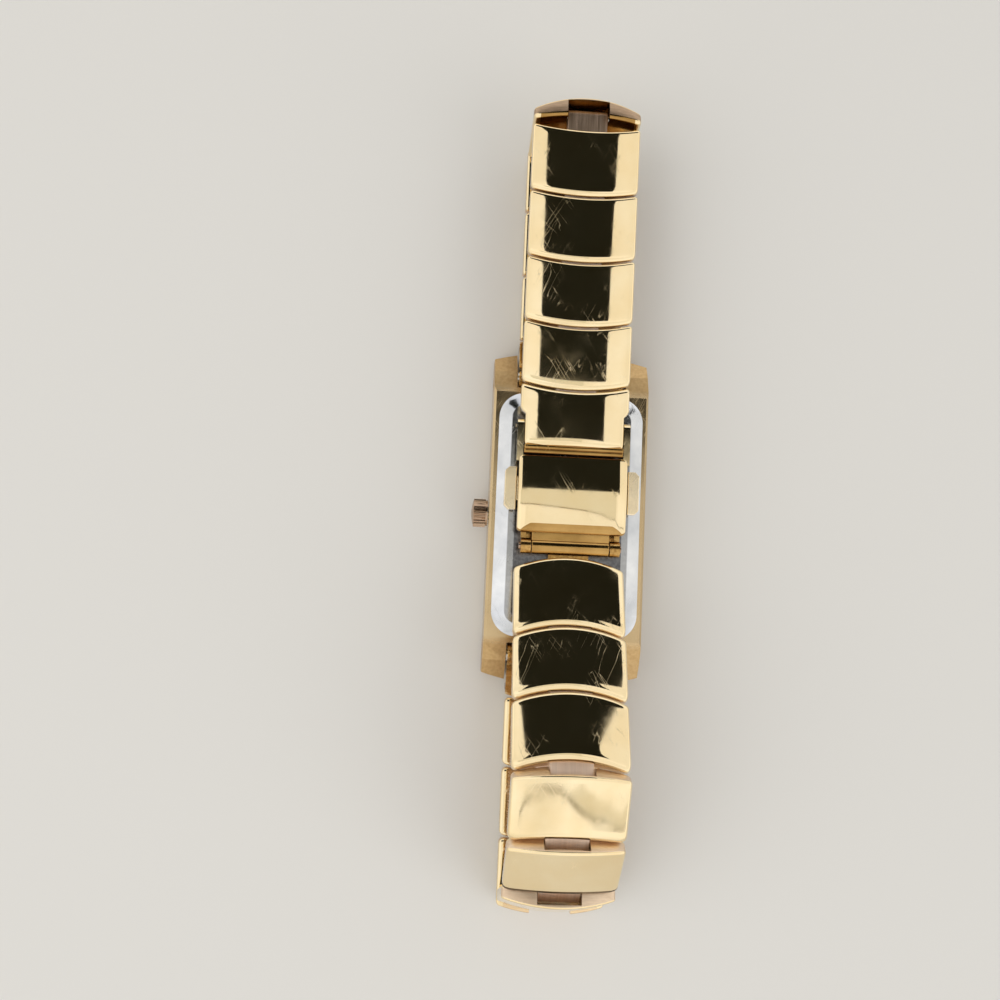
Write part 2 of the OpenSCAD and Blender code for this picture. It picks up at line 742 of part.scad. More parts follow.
// Channel under the cover, with the tongue to the last link, hinge knuckles, side windows and ears
module clasp_base() {
    floor_y = hinge_y - barrel_d / 2 + slide_gap;
    tongue_top = hinge_z - barrel_d / 2 - slide_gap - run_gap;
    color(gold) on_clasp() difference() {
        union() {
            translate([-wall_x, floor_y, floor_z])
                cube([2 * wall_x, front_y + front_t - front_lean - floor_y, floor_t]);
            for (s = [-1, 1]) {
                translate([s > 0 ? wall_x - wall_t : -wall_x, hinge_y, floor_z])
                    cube([wall_t, front_y - front_lean - hinge_y + eps, wall_h]);
                translate([s * (wall_x - knuckle_w / 2), hinge_y, hinge_z]) bar_x(barrel_d / 2, knuckle_w);
                translate([s > 0 ? wall_x - knuckle_w : -wall_x, floor_y, floor_z])
                    cube([knuckle_w, barrel_d - 2 * slide_gap, hinge_z - floor_z]);
                translate([s > 0 ? ear_x : -ear_x - ear_t, front_y, ear_z])
                    cube([ear_t, ear_end - front_y - ear_h / 2, ear_h]);
                translate([s * (ear_x + ear_t / 2), ear_end - ear_h / 2, ear_z + ear_h / 2])
                    bar_x(ear_h / 2, ear_t);
            }
            side_extrude(2 * (ear_x + ear_t))
                polygon([[front_y - front_lean, floor_z], [front_y + front_t - front_lean, floor_z],
                    [front_y + front_t, floor_z + wall_h], [front_y, floor_z + wall_h]]);
            translate([-post_w / 2, button_mid - post_len / 2, floor_z])
                cube([post_w, post_len, wall_h - post_drop]);
            bar_x(base_tongue_r, tongue_w);
            translate([-tongue_w / 2, 0, floor_z + base_tongue_lift])
                cube([tongue_w, floor_y + 1, tongue_top - floor_z - base_tongue_lift]);
            translate([-tongue_w / 2, 0, floor_z + base_tongue_lift])
                cube([tongue_w, base_tongue_r + 0.35, -floor_z - base_tongue_lift - 0.3]);
        }
        bar_x(pin_d / 2 + run_gap, tongue_w + 2);
        translate([0, hinge_y, hinge_z]) bar_x(hinge_pin_d / 2 + fit_gap, 2 * wall_x + 2);
        translate([-wall_x - 1, button_mid - stem_len / 2 - fit_gap, button_z + stem_inset - fit_gap])
            cube([2 * wall_x + 2, stem_len + 2 * fit_gap, button_h - 2 * stem_inset + 2 * fit_gap]);
    }
}

// Curved cover that snaps over the base, with its knuckle between the base's two
module clasp_cover() {
    cover_knuckle_w = 2 * (wall_x - knuckle_w - slide_gap);
    mid = cover_y + cover_len / 2;
    color(gold) on_clasp() difference() {
        union() {
            intersection() {
                side_extrude(cover_w)
                    polygon([[cover_y, cover_z], [cover_end, cover_z], [cover_end, cover_z + cover_t],
                        [cover_y + cover_bevel, cover_z + cover_t], [cover_y, cover_z + cover_t / 4]]);
                translate([0, mid, cover_z + cover_t - cover_r]) rotate([0, 90, 0])
                    cylinder(r = cover_r, h = cover_w + 2, center = true, $fn = very_fine);
            }
            translate([0, hinge_y, hinge_z]) bar_x(barrel_d / 2, cover_knuckle_w);
            translate([-cover_knuckle_w / 2, hinge_y, hinge_z + slide_gap])
                cube([cover_knuckle_w, cover_y + 0.5 - hinge_y,
                    cover_z + cover_t / 4 - hinge_z - slide_gap]);
        }
        translate([0, hinge_y, hinge_z]) bar_x(hinge_pin_d / 2 + run_gap, cover_knuckle_w + 2);
    }
}

module cover_hinge_pin() {
    color(rose) on_clasp() translate([0, hinge_y, hinge_z]) {
        bar_x(hinge_pin_d / 2, 2 * wall_x + 0.1);
        for (s = [-1, 1]) translate([s * (wall_x + 0.1), 0, 0]) bar_x(hinge_pin_d / 2 + 0.15, 0.2);
    }
}

// Side push button: chamfered head outside, stem through the window, flange inside
module push_button(s) {
    head_x = wall_x + button_travel + 0.08;
    out_x = cover_w / 2 + button_out;
    cut = 0.5;
    half = button_len / 2;
    color("#e9c08c") on_clasp() mirror([s > 0 ? 0 : 1, 0, 0]) translate([0, button_mid, button_z]) {
        linear_extrude(button_h)
            polygon([[head_x, -half], [out_x - cut, -half], [out_x, cut - half], [out_x, half - cut],
                [out_x - cut, half], [head_x, half]]);
        translate([wall_x - wall_t - 0.1 - flange_t, -stem_len / 2, stem_inset])
            cube([head_x - wall_x + wall_t + 0.2 + flange_t, stem_len, button_h - 2 * stem_inset]);
        translate([wall_x - wall_t - 0.1 - flange_t, -stem_len / 2 - 0.5, stem_inset])
            cube([flange_t, stem_len + 1, button_h - 2 * stem_inset]);
    }
}

// Flat zigzag spring between the middle post and a button's flange
module button_spring(s) {
    turns = 5;
    from_x = post_w / 2 + fit_gap;
    to_x = wall_x - wall_t - 0.1 - flange_t - fit_gap;
    step = (to_x - from_x) / turns;
    strip = 0.16;
    color("#9aa0a6") on_clasp() mirror([s > 0 ? 0 : 1, 0, 0]) translate([0, button_mid, button_z + 0.35]) {
        for (i = [0:turns]) translate([from_x + i * step * (1 - strip / (to_x - from_x)), -0.8, 0])
            cube([strip, 1.6, 0.6]);
        for (i = [0:turns - 1])
            translate([from_x + i * step * (1 - strip / (to_x - from_x)),
                i % 2 == 0 ? 0.8 - strip : -0.8, 0])
                cube([step + strip, strip, 0.6]);
    }
}

case_middle();
case_back();
back_gasket();
crystal();
crystal_gasket();
dial();
hour_markers();
movement_ring();
movement_plate();
movement_coil();
circuit_board();
battery();
battery_clamp();
crown_tube();
spring_bars();
crown();
winding_stem();
setting_lever();
hour_hand();
hour_wheel();
minute_hand();
cannon_pinion();
on_12(0) end_link();  // end_link_12
on_12(1) link(pitch_12[1]);  // link_12_2
on_12(2) link(pitch_12[2]);  // link_12_3
on_12(3) link(pitch_12[3]);  // link_12_4
on_12(4) link(pitch_12[4]);  // link_12_5
on_12(5) link(pitch_12[5]);  // link_12_6
on_12(6) link(pitch_12[6]);  // link_12_7
on_12(7) link(pitch_12[7]);  // link_12_8
on_12(8) link(pitch_12[8]);  // link_12_9
on_12(9) catch_link_body();  // catch_link
on_6(0) end_link();  // end_link_6
on_6(1) link(pitch_6[1]);  // link_6_2
on_6(2) link(pitch_6[2]);  // link_6_3
on_6(3) link(pitch_6[3]);  // link_6_4
on_6(4) link(pitch_6[4]);  // link_6_5
on_6(5) link(pitch_6[5]);  // link_6_6
on_6(6) link(pitch_6[6]);  // link_6_7
on_6(7) link(pitch_6[7]);  // link_6_8
on_6(8) link(pitch_6[8]);  // link_6_9
on_6(9) link(pitch_6[9]);  // link_6_10
clasp_base();
clasp_cover();
cover_hinge_pin();
push_button(-1);  // push_button_left
push_button(1);  // push_button_right
button_spring(-1);  // button_spring_left
button_spring(1);  // button_spring_right
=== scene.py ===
# %% [markdown]
# # A bracelet watch lying face down
#
# A slim rectangular watch rests on its crystal. Its closed bracelet is folded flat over the case back,
# so the polished outer faces of the last links and of the clasp look up at the camera.
#
# The packed solids already have the right sizes, places and joints. The watch could be modelled once
# more in Blender, but then its looks and its motion could drift apart. So most solids stay as they are.
# All links but the two at the case, and the clasp's cover, are made again in place of their solids,
# because they need rolled edges. The script also adds finishes, a floor and a soft light.

# %% Load the packed solids
import json
import math

import bpy
import numpy as np
from mathutils import Matrix, Vector


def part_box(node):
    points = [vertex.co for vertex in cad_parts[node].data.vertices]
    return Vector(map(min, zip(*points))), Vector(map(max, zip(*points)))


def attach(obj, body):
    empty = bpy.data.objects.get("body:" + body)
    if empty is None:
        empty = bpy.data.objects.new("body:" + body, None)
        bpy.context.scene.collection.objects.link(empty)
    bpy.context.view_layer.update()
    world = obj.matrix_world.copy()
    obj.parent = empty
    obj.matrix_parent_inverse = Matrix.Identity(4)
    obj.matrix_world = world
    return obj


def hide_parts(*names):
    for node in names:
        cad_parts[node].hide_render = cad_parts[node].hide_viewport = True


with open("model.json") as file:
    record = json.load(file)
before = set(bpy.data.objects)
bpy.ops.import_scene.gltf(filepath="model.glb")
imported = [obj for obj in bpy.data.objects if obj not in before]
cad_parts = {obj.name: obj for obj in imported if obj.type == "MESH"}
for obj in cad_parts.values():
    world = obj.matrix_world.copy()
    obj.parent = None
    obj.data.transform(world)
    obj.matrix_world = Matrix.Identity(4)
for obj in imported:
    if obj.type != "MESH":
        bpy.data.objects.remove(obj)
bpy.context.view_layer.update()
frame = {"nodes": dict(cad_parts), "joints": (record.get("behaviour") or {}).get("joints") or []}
nodes = frame["nodes"]
joint_at = {joint["child"]: np.array(joint.get("pos_m", (0, 0, 0))) for joint in frame["joints"]}
MM = 0.001

# %% [markdown]
# ## The camera
#
# A camera could be moved by eye until the outline looks right. On a folded bracelet with layers at
# several heights that is never quite true, so this one was fitted: the solids were laid over the
# picture, and its place and turn were solved from their outlines. It hangs 130 mm up, a little to the
# crown's side, and looks almost straight down. The lens is given as a focal length in picture widths.

# %% Place the camera
SENSOR_WIDTH = 36
FOCAL_WIDTHS = 1.01977
CLIP_RANGE = (0.001, 10)
CAMERA_AT = Vector((-15.078, -9.576, 130.476)) * MM
CAMERA_TURN = (-0.0888, 0.0532, -0.0439)


def make_camera():
    """A camera that looks down -Z before its three small turns about X, Y and then the view's own axis."""
    data = bpy.data.cameras.new("camera")
    data.sensor_width = SENSOR_WIDTH
    data.lens = FOCAL_WIDTHS * SENSOR_WIDTH
    data.clip_start, data.clip_end = CLIP_RANGE
    turn_x, turn_y, turn_z = (Matrix.Rotation(turn, 3, axis) for turn, axis in zip(CAMERA_TURN, "XYZ"))
    to_view = turn_z @ turn_x @ turn_y
    camera = bpy.data.objects.new("camera", data)
    camera.matrix_world = Matrix.Translation(CAMERA_AT) @ to_view.transposed().to_4x4()
    bpy.context.scene.collection.objects.link(camera)
    bpy.context.scene.camera = camera


make_camera()
print("camera height above the table:", round(CAMERA_AT.z / MM), "mm")

# %% [markdown]
# ## The floor
#
# The watch lies on a flat top. A patterned or dark top would tint the gold from below and hide the
# shadow, so the floor is one plain pale sheet, a hair below the crystal, and only the shadow marks it.

# %% Lay the floor
FLOOR_HALF = 2
FLOOR_LEVEL = -0.00001
FLOOR_COLOUR = (0.8, 0.79, 0.77)
STAGE_ROUGHNESS = 0.8


def plain_material(name, colour, shine=0.5):
    """A plain material for the stage; a shine of 0 is a cloth that mirrors nothing."""
    material = bpy.data.materials.new(name)
    material.use_nodes = True
    sockets = material.node_tree.nodes["Principled BSDF"].inputs
    sockets["Base Color"].default_value = (*colour, 1)
    sockets["Roughness"].default_value = STAGE_ROUGHNESS
    sockets["Specular IOR Level"].default_value = shine
    return material


def stage_sheet(name, outline, height, material):
    """A level sheet with this outline, which isn't part of the watch."""
    mesh = bpy.data.meshes.new(name)
    points = np.column_stack([outline, np.full(len(outline), height)])
    mesh.from_pydata(points, [], [range(len(outline))])
    mesh.materials.append(material)
    sheet = bpy.data.objects.new(name, mesh)
    bpy.context.scene.collection.objects.link(sheet)
    return sheet


square = FLOOR_HALF * np.array([(-1, -1), (1, -1), (1, 1), (-1, 1)])
stage_sheet("floor", square, FLOOR_LEVEL, plain_material("pale_floor", FLOOR_COLOUR))
print("floor, metres across:", 2 * FLOOR_HALF)

# %% [markdown]
# ## What the gold mirrors overhead
#
# A polished dome shows a small bent picture of everything above it. On the real links that is a dark
# middle between bright rims, and on the flatter faces pale fields with a thin curved edge. Such shapes
# could be painted on the metal, but then they would stay put when a link turns. So they hang overhead
# as level cards, which only reflections see, and every link bends them as its own shape does.

# %% Hang the cards
CARD_HEIGHT = 0.3
CORD_HEIGHT = CARD_HEIGHT - 0.001
NEAR_WIDTH = 0.0035
FAR_WIDTH = 0.005
BLACK = (0, 0, 0)
NEAR_LINE = np.array([(-0.16, 0.004), (-0.1, 0.0), (0.02, 0.0), (0.031, -0.006), (0.041, -0.012),
                      (0.048, -0.022), (0.053, -0.037), (0.1, -0.05), (0.195, -0.064), (0.3, -0.075)])
FAR_LINE = np.array([(-0.194, -0.401), (-0.168, -0.381), (-0.12, -0.36), (-0.058, -0.346), (0.0, -0.343),
                     (0.038, -0.349), (0.078, -0.36), (0.143, -0.38), (0.247, -0.419), (0.4, -0.495),
                     (0.6, -0.6)])
FAR_SIDE = [(0.6, -0.57), (0.395, -0.479), (0.275, -0.417), (0.164, -0.373), (0.096, -0.349)]
CARD_OUTLINE = [(-0.115, 0.046), (0.16, 0.046), (0.16, 0.12), (0.175, 0.2), (0.3, 0.245), (0.42, 0.3),
                (0.44, 0.42), (-0.26, 0.42), (-0.235, 0.27), (-0.125, 0.16)]
VEIL_OUTLINE = np.concatenate([[(-0.16, 0.0455)], NEAR_LINE[:7], [(0.062, -0.045), (0.062, 0.0455)]])
BAND_OUTLINE = np.concatenate([FAR_LINE[5:], FAR_SIDE])


def cord_outline(line, width):
    """A narrow strip along a line of points: out along the line, and back beside it."""
    return np.concatenate([line, line[::-1] - (0, width)])


def mirrored_card(name, outline, height, colour, glow):
    """A level card overhead that is seen only in reflections."""
    material = plain_material(name, colour, 0.0)
    sockets = material.node_tree.nodes["Principled BSDF"].inputs
    sockets["Emission Color"].default_value = (*glow, 1)
    sockets["Emission Strength"].default_value = 1
    card = stage_sheet(name, outline, height, material)
    card.visible_camera = False
    card.visible_diffuse = False
    card.visible_shadow = False
    card.visible_transmission = False


mirrored_card("dark_card", CARD_OUTLINE, CARD_HEIGHT, (0.02, 0.021, 0.016), BLACK)
mirrored_card("near_veil", VEIL_OUTLINE, CARD_HEIGHT, BLACK, (0.8, 0.78, 0.7))
mirrored_card("far_band", BAND_OUTLINE, CARD_HEIGHT, BLACK, (0.82, 0.79, 0.7))
mirrored_card("near_cord", cord_outline(NEAR_LINE, NEAR_WIDTH), CORD_HEIGHT, BLACK, (0.3, 0.26, 0.2))
mirrored_card("far_cord", cord_outline(FAR_LINE, FAR_WIDTH), CORD_HEIGHT, BLACK, (0.24, 0.21, 0.16))
print("cards hang", CARD_HEIGHT, "m up")

# %% [markdown]
# ## The lamps
#
# Light from both sides rounds the links and lays a soft shadow on the floor. One small lamp would give
# a hard shadow, and no lamp a flat picture, so there are two broad ones, the left one stronger. Their
# own mirror images would burn white spots into the gold, so reflections don't see them.

# %% Set the lamps
def area_lamp(name, at, size, power, colour):
    """A soft square lamp at one point, turned towards the watch."""
    data = bpy.data.lights.new(name, "AREA")
    data.size = size
    data.energy = power
    data.color = colour
    lamp = bpy.data.objects.new(name, data)
    lamp.rotation_euler = (-Vector(at)).to_track_quat("-Z", "Y").to_euler()
    lamp.location = at
    lamp.visible_glossy = False
    bpy.context.scene.collection.objects.link(lamp)


area_lamp("lamp_left", (-0.8, -0.3, 0.7), 1.15, 5.0, (1, 0.98, 0.94))
area_lamp("lamp_right", (0.8, -0.5, 0.6), 0.85, 2.5, (1, 0.97, 0.92))
print("lamps:", len(bpy.data.lights))

# %% [markdown]
# ## The room
#
# The bright rims of the links are the room, mirrored. Walls could be built for it, but a world colour
# does the same with less. A world of one flat tone makes gold look like paint, so this one has broad
# soft patches. It is brighter where it is seen or mirrored than where it lights the watch, which keeps
# the metal lively and the floor from turning white.

# %% Colour the room
ROOM_SEEN = 1.12
ROOM_LIGHT = 0.66
ROOM_PATCHES = 1.6
ROOM_TONES = [(0.38, (0.86, 0.84, 0.79)), (0.6, (1, 0.99, 0.97))]


def room_colour(tree):
    """Broad patches between two pale tones, laid out by direction."""
    direction = tree.nodes.new("ShaderNodeTexCoord").outputs["Generated"]
    patches = tree.nodes.new("ShaderNodeTexNoise")
    patches.inputs["Scale"].default_value = ROOM_PATCHES
    patches.inputs["Detail"].default_value = 1
    tree.links.new(direction, patches.inputs["Vector"])
    tones = tree.nodes.new("ShaderNodeValToRGB")
    for element, (place, colour) in zip(tones.color_ramp.elements, ROOM_TONES):
        element.position = place
        element.color = (*colour, 1)
    tree.links.new(patches.outputs["Fac"], tones.inputs["Fac"])
    return tones.outputs["Color"]


def either(tree, first, second, clamp=False):
    """The sum of two shares, kept to 1 at most where clamped."""
    node = tree.nodes.new("ShaderNodeMath")
    node.operation = "ADD"
    node.use_clamp = clamp
    tree.links.new(first, node.inputs[0])
    tree.links.new(second, node.inputs[1])
    return node.outputs["Value"]


def room_strength(tree):
    """One strength for rays from the eye, mirrors and glass, and a lower one for rays that light."""
    ray = tree.nodes.new("ShaderNodeLightPath").outputs
    seen = either(tree, ray["Is Camera Ray"], ray["Is Glossy Ray"])
    seen = either(tree, seen, ray["Is Transmission Ray"], clamp=True)
    strength = tree.nodes.new("ShaderNodeMapRange")
    strength.inputs["To Min"].default_value = ROOM_LIGHT
    strength.inputs["To Max"].default_value = ROOM_SEEN
    tree.links.new(seen, strength.inputs["Value"])
    return strength.outputs["Result"]


world = bpy.data.worlds.new("pale_room")
bpy.context.scene.world = world
world.use_nodes = True
room = world.node_tree.nodes["Background"]
world.node_tree.links.new(room_colour(world.node_tree), room.inputs["Color"])
world.node_tree.links.new(room_strength(world.node_tree), room.inputs["Strength"])
bpy.context.scene.view_settings.view_transform = "Standard"
print("room strength:", ROOM_SEEN, "seen and", ROOM_LIGHT, "as light")

# %% [markdown]
# ## Building finishes
#
# A finish is colour, roughness and a trace of relief. Image textures would need a flat map of every
# piece. Noise in the object's own metres needs none, fits every solid, and moves with it, so every
# finish here is a small network of nodes on object coordinates. This helper keeps each one short.

# %% A helper for networks of nodes
NOISE_SPREAD = (0.25, 0.75)


class Finish:
    """Builds a material from nodes with short calls."""

    def __init__(self, name, metallic=1.0, roughness=0.2):
        self.material = bpy.data.materials.new(name)
        self.material.use_nodes = True
        self.tree = self.material.node_tree
        self.shader = self.tree.nodes["Principled BSDF"]
        self.shader.inputs["Metallic"].default_value = metallic
        self.shader.inputs["Roughness"].default_value = roughness
        self.coords = self.tree.nodes.new("ShaderNodeTexCoord").outputs["Object"]

    def noise(self, waves, detail=4, stretch=(1, 1, 1), turn=(0, 0, 0), offset=(0, 0, 0)):
        """Noise with this many waves a metre, turned, and longer along an axis where stretch is under 1."""
        mapping = self.tree.nodes.new("ShaderNodeMapping")
        mapping.vector_type = "TEXTURE"
        mapping.inputs["Scale"].default_value = [1 / share for share in stretch]
        mapping.inputs["Rotation"].default_value = turn
        mapping.inputs["Location"].default_value = offset
        self.tree.links.new(self.coords, mapping.inputs["Vector"])
        noise = self.tree.nodes.new("ShaderNodeTexNoise")
        noise.inputs["Scale"].default_value = waves
        noise.inputs["Detail"].default_value = detail
        self.tree.links.new(mapping.outputs["Vector"], noise.inputs["Vector"])
        return noise.outputs["Fac"]

    def ramp(self, value, stops):
        """A colour ramp through (position, colour) stops; a plain number is a grey."""
        node = self.tree.nodes.new("ShaderNodeValToRGB")
        elements = node.color_ramp.elements
        while len(elements) < len(stops):
            elements.new(0.5)
        for element, (place, colour) in zip(elements, stops):
            element.position = place
            element.color = (*colour, 1) if isinstance(colour, tuple) else (colour,) * 3 + (1,)
        self.tree.links.new(value, node.inputs["Fac"])
        return node.outputs["Color"]

    def rescaled(self, value, start, end, low=0.0, high=1.0):
        """Maps start..end to low..high."""
        node = self.tree.nodes.new("ShaderNodeMapRange")
        node.inputs["From Min"].default_value = start
        node.inputs["From Max"].default_value = end
        node.inputs["To Min"].default_value = low
        node.inputs["To Max"].default_value = high
        self.tree.links.new(value, node.inputs["Value"])
        return node.outputs["Result"]

    def spread(self, noise, low, high):
        """Maps noise, which keeps mostly to its middle half, to a range of numbers."""
        return self.rescaled(noise, *NOISE_SPREAD, low, high)

    def combine(self, first, second, operation="ADD"):
        """The sum, or another operation, of two values."""
        node = self.tree.nodes.new("ShaderNodeMath")
        node.operation = operation
        for socket, value in zip(node.inputs, (first, second)):
            if isinstance(value, (int, float)):
                socket.default_value = value
            else:
                self.tree.links.new(value, socket)
        return node.outputs["Value"]

    def between(self, axis, start, end):
        """0 before one place along an axis and 1 after another; both sides alike where both are positive."""
        parts = self.tree.nodes.new("ShaderNodeSeparateXYZ")
        self.tree.links.new(self.coords, parts.inputs["Vector"])
        place = parts.outputs[axis]
        if start > 0 and end > 0:
            place = self.combine(place, 0.0, "ABSOLUTE")
        return self.rescaled(place, start, end)

    def mix(self, share, first, second):
        """Mixes two colours by a share."""
        node = self.tree.nodes.new("ShaderNodeMix")
        node.data_type = "RGBA"
        self.tree.links.new(share, node.inputs["Factor"])
        self.tree.links.new(first, node.inputs["A"])
        self.tree.links.new(second, node.inputs["B"])
        return node.outputs["Result"]

    def bump(self, height, strength, distance, after=None):
        """Turns a height into a disturbed normal and returns it."""
        node = self.tree.nodes.new("ShaderNodeBump")
        node.inputs["Strength"].default_value = strength
        node.inputs["Distance"].default_value = distance
        self.tree.links.new(height, node.inputs["Height"])
        if after is not None:
            self.tree.links.new(after, node.inputs["Normal"])
        return node.outputs["Normal"]

    def set(self, **sockets):
        """Connects or sets the shader's sockets by name, with _ for a space."""
        for name, value in sockets.items():
            socket = self.shader.inputs[name.replace("_", " ")]
            if isinstance(value, bpy.types.NodeSocket):
                self.tree.links.new(value, socket)
            else:
                socket.default_value = value
        return self.material


print("tools of a finish:", len([tool for tool in vars(Finish) if not tool.startswith("_")]))

# %% [markdown]
# ## Polished metal
#
# Gold plate and steel that were mirror polished and then worn: smears, and patches of fine scratches
# that cross in two directions. Scratches could be modelled, but they are far thinner than any mesh.
# Noise stretched into long threads and cut to a narrow peak gives lines of the right width at any
# distance. Where the polishing wheel doesn't reach, the metal is duller, so a finish can take a shaded
# part: a stretch along one axis past which that duller metal sets in, painted darker there as shade
# and dark reflection.

# %% Polished metal
# Noise settings are waves a metre, then detail, stretch, turn and offset where they aren't the usual.
TINT_CLOUDS = {"waves": 220, "detail": 5}
ROUGH_CLOUDS = {"waves": 420, "detail": 6}
SCRATCHES = {"waves": 760, "detail": 2, "stretch": (1, 0.07, 0.07), "turn": (0, 0, 0.6)}
CROSSING = {"waves": 900, "detail": 2, "stretch": (1, 0.09, 0.09), "turn": (0, 0, -0.45),
            "offset": (0.3, 0.1, 0)}
SCRATCHED_AREAS = {"waves": 190, "offset": (0.7, 0.2, 0.4)}
SMEARED_AREAS = {"waves": 330, "detail": 6, "offset": (0.1, 0.6, 0.2)}
WAVER = {"waves": 160, "detail": 3}
GRAIN = {"waves": 2600}
# Ramps say which part of a noise counts, from its lowest values to its highest.
CLOUD_RAMP = (0.3, 0.7)
GRAIN_RAMP = (0.35, 0.62)
THIN_PEAK = [(0.491, 0.0), (0.5, 1.0), (0.509, 0.0)]
SCRATCHED_PART = [(0.52, 0.0), (0.62, 1.0)]
SMEARED_PART = [(0.55, 0.0), (0.7, 1.0)]
SMEAR_ROUGHNESS = 0.045
# Relief is a strength and a height in metres.
WAVER_RELIEF = (0.2, 0.00001)
SCRATCH_RELIEF = (0.3, 0.000003)
GRAIN_RELIEF = (0.35, 0.00002)


def two_tone(finish, value, ramp, dark, light):
    """A ramp from dark to light between two places."""
    return finish.ramp(value, [(ramp[0], dark), (ramp[1], light)])


def worn_scratches(finish):
    """Thin lines in two directions, kept to patches."""
    threads, crossing = finish.noise(**SCRATCHES), finish.noise(**CROSSING)
    lines = finish.combine(finish.ramp(threads, THIN_PEAK), finish.ramp(crossing, THIN_PEAK), "MAXIMUM")
    where = finish.ramp(finish.noise(**SCRATCHED_AREAS), SCRATCHED_PART)
    return finish.combine(lines, where, "MULTIPLY")


def polished_metal(name, light, dark, smooth=0.035, worn=0.075, scratched=0.26, shaded_part=None, axis="Y"):
    """Mirror-polished metal between two tones, with a clouded roughness from smooth to worn.

    Scratched is the roughness that a scratch adds. A shaded part is (light, dark, reach, start, end):
    its tones, which are painted shade and painted dark reflection, the roughness that it adds, and the
    places along the axis, in metres, between which it sets in."""
    finish = Finish(name)
    tint = two_tone(finish, finish.noise(**TINT_CLOUDS), CLOUD_RAMP, dark, light)
    lines = worn_scratches(finish)
    smear = finish.ramp(finish.noise(**SMEARED_AREAS), SMEARED_PART)
    smear = finish.combine(smear, SMEAR_ROUGHNESS, "MULTIPLY")
    clouds = finish.spread(finish.noise(**ROUGH_CLOUDS), smooth, worn)
    rough = finish.combine(clouds, finish.combine(lines, scratched, "MULTIPLY"))
    rough = finish.combine(rough, smear)
    normal = finish.bump(finish.noise(**WAVER), *WAVER_RELIEF)
    normal = finish.bump(lines, *SCRATCH_RELIEF, normal)
    if shaded_part:
        shade_light, shade_dark, reach, start, end = shaded_part
        dull_and_shaded = finish.between(axis, start, end)
        grain = finish.noise(**GRAIN)
        # The shaded part's tints are painted shade and dark reflection; its roughness and grain are its own.
        tint = finish.mix(dull_and_shaded, tint, two_tone(finish, grain, GRAIN_RAMP, shade_dark, shade_light))
        rough = finish.combine(rough, finish.combine(dull_and_shaded, reach, "MULTIPLY"))
        normal = finish.bump(finish.combine(grain, dull_and_shaded, "MULTIPLY"), *GRAIN_RELIEF, normal)
    return finish.set(Base_Color=tint, Roughness=rough, Normal=normal)


GOLD = (0.96, 0.8, 0.52)
GOLD_DEEP = (0.92, 0.73, 0.43)
# These two tones paint shade and reflection into gold: the warm dark of recesses and of gold mirrored in
# gold.
SHADE_TONE = (0.6, 0.37, 0.13)
SHADE_TONE_DARK = (0.36, 0.2, 0.06)
gold = polished_metal("polished_gold", GOLD, GOLD_DEEP)
shaded_gold = polished_metal("shaded_gold", SHADE_TONE, SHADE_TONE_DARK, 0.1, 0.2)
# A nearly black gold that paints a dark reflection along one rolled edge.
dark_reflection_line = polished_metal("dark_reflection_line", (0.17, 0.11, 0.045), (0.09, 0.055, 0.02), 0.3, 0.45)
print("plain polished finishes:", gold.name, shaded_gold.name, dark_reflection_line.name)

# %% [markdown]
# ## Polished metal with a duller part in painted shade
#
# The case is duller towards its lugs, darker there in a painted dark reflection; the clasp's base is
# darker round its hinge in painted shade; the case back's satin centre inside its bright bevel is a
# painted dark reflection. Each could be a material of its own on picked faces, but a place along one
# axis needs no picking and holds for the bevelled mesh too.

# %% Cases, backs, clasps and small parts
# The darker tones of these three parts are painted: a dark reflection towards the case's lugs and on the
# back's centre, and shade round the clasp's hinge.
CASE_SHADED_PART = ((0.6, 0.41, 0.2), (0.52, 0.34, 0.155), 0.14, 0.0150, 0.0162)
CLASP_SHADED_PART = (SHADE_TONE, SHADE_TONE_DARK, 0.1, -0.0012, -0.002)
back_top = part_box("case_back")[1].z
BACK_SHADED_PART = ((0.2, 0.2, 0.21), (0.12, 0.12, 0.13), 0.1, back_top - 0.0002, back_top - 0.0001)
# The case is gold like the bracelet; its browner tones paint in part of the dark reflection along its sides.
case_gold = polished_metal("case_gold", (0.67, 0.51, 0.3), (0.59, 0.44, 0.25), 0.14, 0.24, 0.2, CASE_SHADED_PART)
clasp_gold = polished_metal("clasp_gold", GOLD, GOLD_DEEP, 0.06, 0.14, 0.2, CLASP_SHADED_PART)
pale_gold = polished_metal("pale_gold", (1.0, 0.86, 0.62), (0.96, 0.79, 0.54), 0.14, 0.24)
rose_gold = polished_metal("rose_gold", (0.56, 0.4, 0.28), (0.36, 0.24, 0.16), 0.15, 0.3)
steel = polished_metal("back_steel", (0.84, 0.85, 0.87), (0.56, 0.58, 0.62), 0.05, 0.14,
                       shaded_part=BACK_SHADED_PART, axis="Z")
small_steel = polished_metal("small_steel", (0.74, 0.75, 0.77), (0.6, 0.61, 0.63), 0.16, 0.28)
print("case back's satin starts at, millimetres:", round(BACK_SHADED_PART[3] / MM, 2))

# %% [markdown]
# ## Brushed metal
#
# Tongues and end faces are drawn over a belt, which leaves fine parallel streaks. An anisotropic
# shader would stretch the glints alone. Noise that is stretched along one axis shows the streaks in
# colour, roughness and relief together, so it reads as brushed also from close up.

# %% Brushed metal
STREAK = 0.03
BROAD_STREAK = 0.15
STREAK_WAVES, BROAD_WAVES = 5200, 900
STREAK_RAMP = (0.12, 0.4)
STREAK_RELIEF = (0.3, 0.000006)


def stretch_along(axes, share):
    """Stretches noise along the named axes, so that it keeps this share of its waves there."""
    return tuple(share if axis in axes else 1.0 for axis in "xyz")


